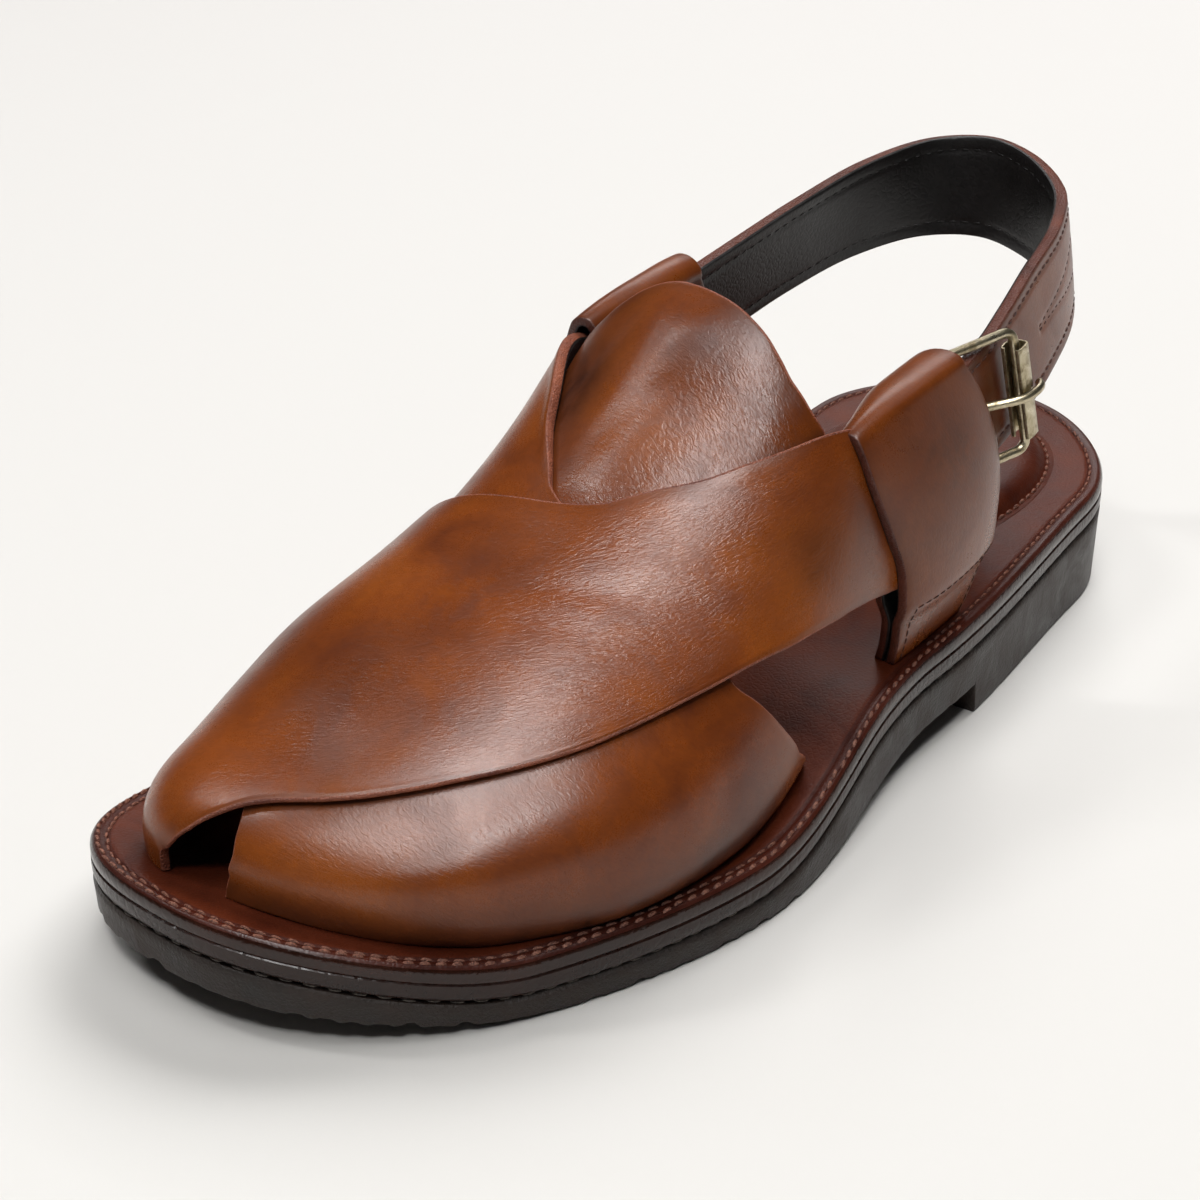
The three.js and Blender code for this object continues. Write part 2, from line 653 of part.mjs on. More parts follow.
// Frame: front bar inside the strap, rear bar outside it, sides between
const FRONT_OUT = -(STRAP_THICK / 2 + GAP + WIRE + 0.3);
const REAR_OUT = STRAP_THICK / 2 + GAP + ROLLER.outer + 0.3;
function makeFrame() {
  const corner = 1.6;
  const outAt = (r) => lerp(FRONT_OUT, REAR_OUT, (r - FRAME_FRONT) / (FRAME_REAR - FRAME_FRONT));
  const at = (r, up) => atBuckle(r, up, outAt(r));
  const h = FRAME_HALF;
  const points = [];
  for (const [r, up, dr, du] of [[FRAME_FRONT, -h, 1, 1], [FRAME_FRONT, h, 1, -1], [FRAME_REAR, h, -1, -1], [FRAME_REAR, -h, -1, 1]]) {
    const along = at(r + dr * corner, up);
    const middle = at(r + dr * corner * 0.3, up + du * corner * 0.3);
    const over = at(r, up + du * corner);
    points.push(...(dr * du > 0 ? [along, middle, over] : [over, middle, along]));
  }
  return wire(points, WIRE, true, buckleAxes.out, 8);
}

function makeRoller() {
  const sides = 6;
  const heart = (up) => atBuckle(FRAME_REAR, up, REAR_OUT);
  const { across, along, out } = buckleAxes;
  const flat = along.clone().addScaledVector(across, -along.dot(across)).normalize();
  const ring = (up, radius, turn) => Array.from({ length: sides }, (_, k) => {
    const a = (2 * Math.PI * (k + turn)) / sides;
    const q = heart(up).addScaledVector(flat, radius * Math.cos(a));
    return q.addScaledVector(out, radius * Math.sin(a));
  });
  const shell = (radius, half) => toManifold(loftEnds([ring(-half, radius, 0.5), ring(half, radius, 0.5)]));
  return fromManifold(shell(ROLLER.outer, ROLLER.half).subtract(shell(ROLLER.inner, ROLLER.half + 2)));
}

// Prong: an eye round the front bar, a straight run through the strap, a tip over the roller
function makeProng() {
  const lay = REAR_OUT + ROLLER.outer + GAP + PRONG;
  const run = [
    atBuckle(FRAME_FRONT + 1.9, 0, FRONT_OUT + 1.3),
    atBuckle(FRAME_FRONT + 6, 0, FRONT_OUT + 4.4),
    atBuckle(FRAME_REAR - 3, 0, lay - 0.2),
    atBuckle(FRAME_REAR + 1, 0, lay + 0.1),
    atBuckle(FRAME_REAR + 4.2, 0, lay - 0.9),
  ];
  const stem = toManifold(wire(run, PRONG, false, buckleAxes.across, 8));
  const heart = (up) => atBuckle(FRAME_FRONT, up, FRONT_OUT);
  const { across, along, out } = buckleAxes;
  const flat = along.clone().addScaledVector(across, -along.dot(across)).normalize();
  const ring = (up, radius) => Array.from({ length: 12 }, (_, k) => {
    const a = (2 * Math.PI * k) / 12;
    const q = heart(up).addScaledVector(flat, radius * Math.cos(a));
    return q.addScaledVector(out, radius * Math.sin(a));
  });
  const disc = (radius, half) => toManifold(loftEnds([ring(-half, radius), ring(half, radius)]));
  return fromManifold(stem.add(disc(WIRE + 1.3, PRONG)).subtract(disc(WIRE + GAP, PRONG + 2)));
}

// Finish of each material
const FINISH = {
  tan: { color: 0x6b3416, roughness: 0.42, metalness: 0 },
  brown: { color: 0x4a2015, roughness: 0.5, metalness: 0 },
  dark: { color: 0x17110f, roughness: 0.55, metalness: 0 },
  rubber: { color: 0x131211, roughness: 0.6, metalness: 0 },
  metal: { color: 0xa79b82, roughness: 0.35, metalness: 1 },
};

const group = new THREE.Group();
group.name = "peshawari_chappal";
function piece(name, geometry, finish) {
  geometry.translate(0, -CENTRE_Y, 0);
  const mesh = new THREE.Mesh(geometry, new THREE.MeshStandardMaterial(FINISH[finish]));
  mesh.name = name;
  group.add(mesh);
}

piece("outsole", makeOutsole(), "rubber");
piece("midsole", makeMidsole(), "dark");
piece("insole", makeInsole(), "brown");
piece("heel_pad", makeHeelPad(), "brown");
piece("upper", makeUpper(), "tan");
piece("tongue", makeTongue(), "tan");
piece("lateral_quarter", makeQuarter(1, LATERAL_SLEEVE), "tan");
piece("medial_quarter", makeQuarter(-1, MEDIAL_SLEEVE), "tan");
piece("heel_strap", makeStrap(), "tan");
piece("buckle_frame", makeFrame(), "metal");
piece("buckle_roller", makeRoller(), "metal");
piece("buckle_prong", makeProng(), "metal");

export default group;
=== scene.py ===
# Peshawari chappal, left shoe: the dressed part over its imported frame, with floor, light and camera.
import math
import bpy
import numpy as np
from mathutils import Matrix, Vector


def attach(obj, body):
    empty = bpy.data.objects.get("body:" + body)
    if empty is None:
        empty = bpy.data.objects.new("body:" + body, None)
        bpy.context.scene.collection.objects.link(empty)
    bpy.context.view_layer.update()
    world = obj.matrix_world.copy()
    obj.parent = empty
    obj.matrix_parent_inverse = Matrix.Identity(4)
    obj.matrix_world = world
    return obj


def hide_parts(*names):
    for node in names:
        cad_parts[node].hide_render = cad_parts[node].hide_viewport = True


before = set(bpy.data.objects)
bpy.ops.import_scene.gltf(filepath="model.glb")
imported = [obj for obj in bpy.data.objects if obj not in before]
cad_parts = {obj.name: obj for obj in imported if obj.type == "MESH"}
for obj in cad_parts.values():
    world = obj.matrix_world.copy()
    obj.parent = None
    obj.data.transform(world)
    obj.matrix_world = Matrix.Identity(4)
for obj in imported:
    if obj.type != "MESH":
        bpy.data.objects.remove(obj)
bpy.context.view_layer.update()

# Metres in a millimetre, then driving sizes in millimetres and degrees
MM = 0.001
LENGTH = 292.0
HALF = LENGTH / 2
CENTRE_Y = 2.5
GAP = 0.3
LEATHER = 2.2
INSOLE_THICK = 4.0
MIDSOLE_THICK = 3.8

# Sole in plan: length share, centre line, half width
SOLE_PLAN = np.array([
    (0.0, -3.4, 35.1), (0.15, 0.6, 42.1), (0.42, 11.45, 39.95),
    (0.68, 6.5, 54.0), (0.85, -5.3, 53.2), (1.0, -14.5, 49.5),
])
TOE_SHARE, TOE_POWER = 0.255, 2.44
HEEL_SHARE, HEEL_POWER = 0.131, 2.17
# Length share, height of the insole's top
SOLE_TOP = np.array([(0.0, 30.0), (0.22, 27.7), (0.5, 25.4), (0.68, 14.9), (0.85, 14.2), (1.0, 25.4)])
BREAST_X, BREAST_RUN, BREAST_STEP, SHANK_FROM = -43.0, 0.8, 7.5, 12.0
TREAD_START, TREAD_END, TOE_SPRING, SPRING_POWER = 44.0, 92.0, 9.0, 1.8

# Last: x, ridge, top, lateral half width, medial half width, squareness
LAST = np.array([
    (-60, 1.0, 114.0, 41.0, 38.0, 2.9), (-40, 0.0, 113.5, 43.0, 36.0, 2.9),
    (-20, -1.0, 110.0, 45.0, 34.5, 2.8), (0, -3.0, 102.5, 48.0, 34.0, 2.6),
    (20, -4.0, 86.0, 53.0, 34.0, 2.4), (40, -4.0, 72.0, 57.5, 35.5, 2.3),
    (60, -5.0, 62.5, 59.5, 37.0, 2.2), (80, -7.0, 56.0, 59.5, 37.0, 2.2),
    (100, -10.0, 49.5, 57.5, 34.5, 2.2), (115, -13.0, 45.5, 57.0, 33.0, 2.2),
    (125, -15.5, 44.5, 57.0, 32.5, 2.2), (133, -17.0, 43.5, 57.0, 32.0, 2.2),
])
TOE_START, TOE_END, TOE_WIDE, TOE_HIGH = 60.0, 132.5, 2.2, 2.6
# Height share of the last's widest belt, and the angle where the last meets the insole
BELT_SHARE, FEATHER = 0.21, 110.0
TUCK = FEATHER - 90.0

# Wings: angle from the ridge, rear edge, front edge
WING_OVER = np.array([
    (-110, 26, 132.3), (-100, 30.5, 132.3), (-89, 36, 132.3), (-75, 43, 132.3), (-55, 48, 132.3),
    (-32, 48.4, 132.3), (-15, 47.8, 132.2), (-2, 46.5, 131.9), (6, 44, 131.0), (11.5, 41, 128.3),
    (15.2, 37.4, 125), (19.2, 33.8, 122.2), (27, 27.6, 116.8), (36, 18.5, 105.6), (43, 11.6, 93.6),
    (48, 6.3, 80.4), (53, 0.6, 59.5), (58, -5.5, 45.6), (66, -14, 32.5), (78, -14, 15.5),
    (85, -14, 4), (87.6, -14, -4), (89, -14, -12),
])
WING_UNDER = np.array([
    (-93, -14, -12), (-90, -14, -3), (-86, -14, 4), (-77, -14, 16), (-65.5, -14, 33.3),
    (-57.5, -6, 46.8), (-50, 1, 66), (-40, 8.5, 85), (-32, 14.2, 96), (-24.5, 20, 102),
    (-14.8, 29, 109), (-5.5, 36.4, 114.5), (2.4, 43.2, 118.5), (10, 46.2, 122.5), (16, 47.6, 125.6),
    (31.5, 49.2, 129.2), (45, 49.8, 130.4), (59, 49, 131.1), (67, 46, 131.3), (80, 40.7, 131.4),
    (89.3, 35.8, 131.5), (101, 29.5, 131.6), (110, 25.5, 131.6),
])
LIFT_FROM, LIFT_TO = -98.0, -62.0

# Tongue: angle from the ridge, place of its top edge
TONGUE = np.array([
    (-60, 7.5), (-45, 7), (-29, 5.6), (-20, 3.2), (-12, 0.2), (-6, -1.8), (-1, -2.6),
    (6, -1.9), (14, -0.5), (20, 0.7), (27, 2.4), (34, 3.6), (42, 3.6), (52, 2.6), (56, 2.8),
])
TONGUE_BASE, TONGUE_DROP, TONGUE_SPAN = 66.0, 2.2, 58.0

# Quarters: angle, rear edge, front edge
QUARTER = np.array([
    (53, -29, 2.5), (63, -35, 2.2), (71, -39.5, 0.5), (79, -43.5, -2.7),
    (86, -45.3, -6.6), (92, -44.5, -8.3), (102, -41.5, -10.2), (110, -39, -11.6),
])
# Sleeves: angle where the walls shut, swelling, foot turned in, angle of the fold in front and at the rear,
# rear edge moved back, front edge set back, then how far outer wall, inner wall and foot stand off the last
SHUT_RUN, SWELL_ANGLE, SWELL_SPREAD, SWELL_POWER, TURN_FROM = 7.5, 84.0, 14.0, 0.6, 91.0
SET_BACK_FADE, FOLD_HIGH, FOOT_CLOSE = (56, 76), 3.6, 0.4
LATERAL_SLEEVE = dict(
    shut=89.3, swell=3.5, turn_in=0.0, top_front=56, top_rear=60, back=0, set_back=0.5,
    outer=4.6, inner_front=1.2, inner_rear=-5.0, foot=3.0,
)
MEDIAL_SLEEVE = dict(
    shut=93.4, swell=2.2, turn_in=12.0, top_front=51, top_rear=58, back=6, set_back=4.0,
    outer=2.7, inner_front=-0.4, inner_rear=-2.1, foot=1.6,
)

# Heel strap, medial to lateral: upper edge x, y, z, lower edge x, y, z
STRAP = np.array([
    (-34, -33.6, 86, -36, -36.6, 63), (-56, -31.8, 90.5, -57, -36, 67), (-80, -30, 95, -79, -34, 71.5),
    (-104, -27, 99, -101, -29.5, 75.5), (-122, -20, 101.5, -118, -20.5, 78),
    (-129, -8, 102.5, -125.5, -7, 79), (-127, 4, 101.5, -124, 6.5, 78),
    (-116, 19, 99, -115, 23.5, 75.5), (-100, 27.5, 96.5, -102, 32, 73),
    (-77, 34, 93.5, -80, 39.5, 70), (-60, 38.2, 90, -63, 43, 66.5), (-48, 40.6, 87.3, -51, 44.5, 63.8),
    (-29, 42.3, 84, -32, 45.2, 60.5),
])
STRAP_THICK = 3.2

# Buckle in the strap's own axes
BUCKLE_SHARE, WIRE, FRAME_FRONT, FRAME_REAR, FRAME_HALF, FRAME_CORNER = 0.938, 1.1, -8.0, 9.0, 14.2, 2.4
ROLLER_OUT, ROLLER_HALF, ROLLER_SHEET, PRONG, METAL_GAP = 2.9, 10.6, 0.55, 1.0, 0.3

# Heel pad on the seat, then its profile from the hem to the middle: scale, rise, pull of the puckers
PAD_X, PAD_Y, PAD_LONG, PAD_WIDE, PAD_POWER, PAD_PUCKERS, HEM_DROP = -87.0, 1.0, 42.0, 29.5, 2.2, 64, 0.25
PAD_PROFILE = (
    (1.045, 0.05, 0.0), (1.02, 0.22, 0.0), (0.998, 0.10, 0.08), (0.985, 0.35, 0.10), (0.965, 1.3, 0.12),
    (0.94, 2.3, 0.08), (0.90, 3.2, 0.03), (0.85, 3.75, 0.0), (0.78, 4.05, 0.0), (0.68, 4.2, 0.0),
    (0.5, 4.22, 0.0), (0.3, 4.2, 0.0), (0.12, 4.2, 0.0), (0.0, 4.2, 0.0),
)
PAD_SEAM, PAD_SIDES, PAD_THREAD = 2, 240, 0.12

# Stitches: pitch, length, radius, slant, wander
INSOLE_STITCH = (3.1, 2.4, 0.32, 0.15, 0.14)
SEAT_STITCH = (3.1, 2.2, 0.36, 0.1, 0.1)
WELT_STITCH = (3.1, 2.4, 0.42, -0.2, 0.14)
SEAM_STITCH = (4.6, 2.8, 0.24, 0.0, 0.08)
PAD_STITCH = (3.2, 2.4, 0.42, 0.0, 0.06)
SLEEVE_STITCH = (2.4, 2.15, 0.18, 0.0, 0.06)
STRAP_STITCH = (3.0, 2.3, 0.24, 0.0, 0.06)
LINING_STITCH = (3.0, 2.2, 0.22, 0.0, 0.06)


# Smooth curve through a table's first column and another one, without overshoot
def curve(table, column):
    xs, ys = table[:, 0], table[:, column]
    h = np.diff(xs)
    d = np.diff(ys) / h
    m = np.zeros(len(xs))
    m[0] = d[0]
    m[-1] = d[-1]
    for i in range(1, len(xs) - 1):
        if d[i - 1] * d[i] > 0:
            a = 2 * h[i] + h[i - 1]
            b = h[i] + 2 * h[i - 1]
            m[i] = (a + b) / (a / d[i - 1] + b / d[i])

    def at(x):
        t = np.clip(x, xs[0], xs[-1])
        i = np.clip(np.searchsorted(xs, t, side="right") - 1, 0, len(xs) - 2)
        u = (t - xs[i]) / h[i]
        start = (2 * u**3 - 3 * u**2 + 1) * ys[i] + (u**3 - 2 * u**2 + u) * h[i] * m[i]
        return start + (3 * u**2 - 2 * u**3) * ys[i + 1] + (u**3 - u**2) * h[i] * m[i + 1]

    return at


def smooth(x, low, high):
    t = np.clip((np.asarray(x, float) - low) / (high - low), 0, 1)
    return t * t * (3 - 2 * t)


def lerp(a, b, t):
    return a + (b - a) * t


def length_of(v):
    return np.linalg.norm(v, axis=-1)


def unit(v):
    return v / np.maximum(length_of(v)[..., None], 1e-9)


def bell(d, width):
    return np.exp(-((d / width) ** 2))


# Steady pseudo-random numbers, the same on each run
rng = np.random.default_rng(7)

# Sole functions
plan_centre = curve(SOLE_PLAN, 1)
plan_half = curve(SOLE_PLAN, 2)
sole_top = curve(SOLE_TOP, 1)


def insole_top(x):
    return sole_top((np.asarray(x, float) + HALF) / LENGTH)


# Share of the half width that the rounded toe and heel leave
def end_round(s):
    toe = np.clip((s - 1 + TOE_SHARE) / TOE_SHARE, 0, 1)
    heel = np.clip((HEEL_SHARE - s) / HEEL_SHARE, 0, 1)
    at_toe = (1 - toe**TOE_POWER) ** (1 / TOE_POWER)
    return at_toe * (1 - heel**HEEL_POWER) ** (1 / HEEL_POWER)


def sole_bottom(x):
    x = np.asarray(x, float)
    step = BREAST_STEP * np.clip((x - BREAST_X) / BREAST_RUN, 0, 1)
    shank = step * (1 - smooth(x, BREAST_X + SHANK_FROM, TREAD_START))
    toe = TOE_SPRING * np.clip((x - TREAD_END) / (HALF - TREAD_END), 0, 1) ** SPRING_POWER
    return np.where(x < TREAD_START, shank, toe)


STATIONS = 260
station_x = -HALF * np.cos(np.pi * np.arange(STATIONS + 1) / STATIONS)
for place in (BREAST_X, BREAST_X + BREAST_RUN):
    station_x[np.argmin(np.abs(station_x - place))] = place


# Closed outline of the sole in plan, lateral side first
def plan_loop():
    s = (station_x + HALF) / LENGTH
    half = plan_half(s) * end_round(s)
    one = np.stack([station_x, plan_centre(s) + half], 1)
    two = np.stack([station_x, plan_centre(s) - half], 1)
    return np.concatenate([one, two[-2:0:-1]])


LOOP = plan_loop()
LOOP_ALONG = unit(np.roll(LOOP, -1, 0) - np.roll(LOOP, 1, 0))
LOOP_OUT = np.stack([-LOOP_ALONG[:, 1], LOOP_ALONG[:, 0]], 1)
LOOP_STEP = length_of(LOOP - np.roll(LOOP, 1, 0))
LOOP_ARC = np.cumsum(LOOP_STEP) - LOOP_STEP[0]


# Sole outline moved in by a margin, at a height over its own x
def sole_ring(inset, height):
    q = LOOP - LOOP_OUT * np.asarray(inset, float).reshape(-1, 1)
    z = height(q[:, 0]) if callable(height) else height
    return np.column_stack([q, z])


def under(depth):
    return lambda x: insole_top(x) - depth


# Last functions, and the steps that its slope is measured over
LAST_CURVES = [curve(LAST, k) for k in range(1, 6)]
last_ridge, last_top, last_lateral, last_medial, last_square = LAST_CURVES
NEAR_X, NEAR_ANGLE = 0.05, 0.4


def toe_round(x, power):
    u = np.clip((x - TOE_START) / (TOE_END - TOE_START), 0, 1)
    return (1 - u**power) ** (1 / power)


# Point on the last at a place along it and an angle from its ridge, lateral side positive
def last_point(x, angle):
    x, angle = np.broadcast_arrays(np.asarray(x, float), np.asarray(angle, float))
    base = insole_top(x) + GAP
    belt = base + BELT_SHARE * (last_top(x) - base)
    side = np.where(angle >= 0, last_lateral(x), -last_medial(x))
    reach = side * toe_round(x, TOE_WIDE)
    rise = (last_top(x) - belt) * toe_round(x, TOE_HIGH)
    a = np.abs(angle)
    power = 2 / last_square(x)
    flat = np.radians(np.minimum(a, 90))
    tuck = np.radians(np.maximum(a - 90, 0))
    across = np.where(a <= 90, np.sin(flat) ** power, np.cos(tuck))
    up = np.maximum(np.cos(flat), 0) ** power
    fall = np.sin(tuck) / math.sin(math.radians(TUCK))
    z = np.where(a <= 90, belt + rise * up, belt - (belt - base) * fall)
    return np.stack([x, last_ridge(x) + reach * across, z], -1)


def last_normal(x, angle):
    dx = last_point(x + NEAR_X, angle) - last_point(x - NEAR_X, angle)
    da = last_point(x, angle + NEAR_ANGLE) - last_point(x, angle - NEAR_ANGLE)
    return unit(np.cross(dx, da))


# Point at a distance off the last, never below the insole
def off_last(x, angle, offset):
    offset = np.asarray(offset, float)
    p = last_point(x, angle) + last_normal(x, angle) * offset[..., None]
    p[..., 2] = np.maximum(p[..., 2], insole_top(p[..., 0]) + GAP)
    return p


# Colour from its usual screen numbers
def tone(code):
    rgb = [int(code[k:k + 2], 16) / 255 for k in (0, 2, 4)]
    return [c / 12.92 if c <= 0.04045 else ((c + 0.055) / 1.055) ** 2.4 for c in rgb] + [1.0]


# Short names for building node materials
class Nodes:
    def __init__(self, name):
        self.material = bpy.data.materials.new(name)
        self.material.use_nodes = True
        self.tree = self.material.node_tree
        self.shader = self.tree.nodes["Principled BSDF"]

    # Node with its settings, and its sockets as fill takes them
    def add(self, kind, sockets=(), **settings):
        node = self.tree.nodes.new("ShaderNode" + kind)
        for key, value in settings.items():
            setattr(node, key, value)
        self.fill(node, dict(sockets))
        return node

    # Sockets by name or number, each with another node's output or a plain value
    def fill(self, node, sockets):
        for key, value in sockets.items():
            if hasattr(value, "is_output"):
                self.tree.links.new(value, node.inputs[key])
            else:
                node.inputs[key].default_value = value

    def where(self, scale=(1, 1, 1), source="Object"):
        coords = self.add("TexCoord").outputs[source]
        return self.add("Mapping", {"Vector": coords, "Scale": scale}).outputs["Vector"]

    def noise(self, vector, *values):
        sockets = dict(zip(("Scale", "Detail", "Roughness", "Distortion"), values))
        return self.add("TexNoise", {"Vector": vector, **sockets}).outputs["Fac"]

    def cells(self, vector, scale):
        sockets = {"Vector": vector, "Scale": scale}
        return self.add("TexVoronoi", sockets, feature="DISTANCE_TO_EDGE").outputs["Distance"]

    def ramp(self, value, *stops):
        node = self.add("ValToRGB", {"Fac": value})
        ends = node.color_ramp.elements
        while len(ends) < len(stops):
            ends.new(0.5)
        for element, (place, colour) in zip(ends, stops):
            element.position = place
            element.color = colour
        return node.outputs["Color"]

    def fit(self, value, *ends):
        sockets = dict(zip(("From Min", "From Max", "To Min", "To Max"), ends))
        return self.add("MapRange", {"Value": value, **sockets}).outputs["Result"]

    def sum(self, a, b, kind="ADD"):
        return self.add("Math", {0: a, 1: b}, operation=kind).outputs["Value"]

    def times(self, a, b):
        return self.sum(a, b, "MULTIPLY")

    # Factor and the two colours are the mixing node's sockets 0, 6 and 7
    def mix(self, factor, a, b):
        return self.add("Mix", {0: factor, 6: a, 7: b}, data_type="RGBA").outputs[2]

    def attribute(self, name):
        return self.add("Attribute", attribute_name=name).outputs["Fac"]

    def bump(self, height, strength, distance, onto=None):
        sockets = {"Height": height, "Strength": strength, "Distance": distance}
        if onto is not None:
            sockets["Normal"] = onto
        return self.add("Bump", sockets).outputs["Normal"]

    def finish(self, colour, rough, normal=None, **plain):
        sockets = {"Base Color": colour, "Roughness": rough}
        if normal is not None:
            sockets["Normal"] = normal
        for key, value in plain.items():
            sockets[key.replace("_", " ")] = value
        self.fill(self.shader, sockets)
        return self.material


# Noises of the finishes: scale, detail, roughness, distortion
BROAD, PATCH, SPECK = (26, 3, 0.5, 0.4), (70, 5, 0.6, 0.8), (420, 4, 0.6)
WRINKLE, WAVE, FINE = (820, 2.5, 0.55, 1.1), (300, 2, 0.5, 0.8), (3200, 3, 0.6)
PLAIN_PATCH, PLAIN_FINE = (60, 5, 0.6, 0.5), (900, 4, 0.6)
RUBBER_NOISES, METAL_NOISES = ((90, 6, 0.65, 0.5), (1500, 4, 0.6)), ((320, 5, 0.65, 0.6), (2400, 4, 0.6))
PLY = (2200, 3, 0.6)
# Colours of rubber and metal along their patches
RUBBER_STOPS = ((0.3, "170f0a"), (0.7, "2a1b12"))
METAL_STOPS = ((0.30, "6e6046"), (0.48, "b3a78b"), (0.75, "cfc6ae"))
# Range that most of a noise lies in, and the stretch of the grain along a sheet
SPAN = (0.3, 0.7)
GRAIN = (0.72, 1.35, 1.0)
BURNISH_AND_SHADE_TONE, PAINTED_SHEEN_TONE, WRINKLE_TONE = tone("2b1007"), tone("9a4f1c"), tone("3a1608")


# Burnished leather of the upper: mottled tan, darker spots that are partly burnish and partly painted shade,
# lighter spots of painted sheen, fine creased grain
def burnished_leather(name, dark, middle, light, rough, crease_strength):
    n = Nodes(name)
    spot = n.where()
    cloth = n.where(GRAIN, "UV")
    patch = n.noise(spot, *PATCH)
    blend = n.sum(n.noise(spot, *BROAD), n.times(patch, 0.55))
    blend = n.sum(blend, n.times(n.noise(spot, *SPECK), 0.12))
    blend = n.fit(blend, 0.52, 1.08, 0, 1)
    colour = n.ramp(blend, (0.0, tone(dark)), (0.5, tone(middle)), (1.0, tone(light)))
    burnish_and_shade = n.times(n.attribute("burnish_and_shade"), n.fit(patch, *SPAN, 0.55, 1.25))
    # Darker tone mixed in by these marks: real burnish, and painted shade under the wings and on sides turned
    # from the light
    colour = n.mix(burnish_and_shade, colour, BURNISH_AND_SHADE_TONE)
    # Painted sheen: a lighter tan mixed in where the leather should catch the light
    colour = n.mix(n.times(n.attribute("painted_sheen"), 0.6), colour, PAINTED_SHEEN_TONE)
    wrinkle = n.noise(cloth, *WRINKLE)
    wave = n.noise(cloth, *WAVE)
    fine = n.noise(spot, *FINE)
    # Darker colour in the valleys of the fine grain, partly the grain's own tone and partly painted shade in
    # its creases
    colour = n.mix(n.fit(wrinkle, 0.38, 0.6, 0.16, 0.0), colour, WRINKLE_TONE)
    crease = n.times(n.attribute("crease"), n.sum(n.times(wave, 0.3), wrinkle))
    normal = n.bump(crease, crease_strength, 0.0006)
    normal = n.bump(fine, 0.04, 0.0002, normal)
    shine = n.sum(n.fit(patch, *SPAN, rough + 0.06, rough - 0.05), n.fit(fine, *SPAN, -0.03, 0.04))
    shine = n.sum(shine, n.fit(n.attribute("burnish_and_shade"), 0.1, 0.9, 0.0, 0.12))
    return n.finish(colour, shine, normal, Specular_IOR_Level=0.4)


# Plainer leather for linings, insole and inked edges
def plain_leather(name, dark, light, rough, grain, depth, coat=0.0, level=0.4):
    n = Nodes(name)
    spot = n.where()
    patch = n.noise(spot, *PLAIN_PATCH)
    fine = n.noise(spot, *PLAIN_FINE)
    colour = n.ramp(n.sum(patch, n.times(fine, 0.25)), (0.40, tone(dark)), (0.85, tone(light)))
    cell = n.fit(n.cells(spot, grain), 0.0, 0.25, 0, 1)
    normal = n.bump(n.sum(cell, fine), 0.35, depth)
    shine = n.fit(n.sum(patch, fine), 0.7, 1.3, rough - 0.06, rough + 0.06)
    return n.finish(colour, shine, normal, Specular_IOR_Level=level, Coat_Weight=coat, Coat_Roughness=0.22)


# Rubber or metal with a patchy colour, relief and shine
def patchy_finish(name, stops, noises, fine_share, relief, shine, **plain):
    n = Nodes(name)
    spot = n.where()
    patch, fine = [n.noise(spot, *noise) for noise in noises]
    colour = n.ramp(patch, *[(place, tone(code)) for place, code in stops])
    normal = n.bump(n.sum(patch, n.times(fine, fine_share)), *relief)
    return n.finish(colour, n.fit(patch, *SPAN, *shine), normal, **plain)


def thread_finish(name, dark, light):
    n = Nodes(name)
    ply = n.noise(n.where(), *PLY)
    colour = n.ramp(ply, (0.35, tone(dark)), (0.65, tone(light)))
    return n.finish(colour, 0.7, n.bump(ply, 0.6, 0.0003))


TAN = burnished_leather("upper_leather_look", "50200a", "7c3c13", "98501c", 0.27, 0.3)
LINING = plain_leather("lining_look", "0d0b0b", "1d1918", 0.42, 700, 0.00008)
EDGE = plain_leather("cut_edge_look", "5a281a", "9c5a40", 0.55, 1300, 0.0006)
DARK_EDGE = plain_leather("dark_edge_look", "38160d", "643120", 0.45, 1500, 0.0003)
INSOLE = plain_leather("insole_leather_look", "3d150a", "5a2612", 0.42, 900, 0.00008, 0.03, 0.2)
BAND = plain_leather("welt_band_look", "2e1009", "4a1e12", 0.36, 900, 0.00008, 0.03, 0.3)
INK = plain_leather("inked_edge_look", "1e0d07", "33170d", 0.2, 500, 0.0001, 0.1, 0.38)
BOARD = plain_leather("midsole_edge_look", "1c0d08", "2c1710", 0.3, 420, 0.00015, 0.0, 0.4)
RUBBER = patchy_finish("outsole_rubber_look", RUBBER_STOPS, RUBBER_NOISES, 0.5, (0.6, 0.0011), (0.32, 0.55),
                       Specular_IOR_Level=0.43)
METAL = patchy_finish("buckle_metal_look", METAL_STOPS, METAL_NOISES, 0.4, (0.3, 0.0003), (0.46, 0.24),
                      Metallic=1.0)
THREAD = thread_finish("welt_thread_look", "52281c", "8e5e4a")
DARK_THREAD = thread_finish("dark_thread_look", "2a110b", "522a1c")
PALE_THREAD = thread_finish("pale_thread_look", "28221f", "62594f")


# Angle between faces from which an edge looks sharp
SHARP = math.radians(40)


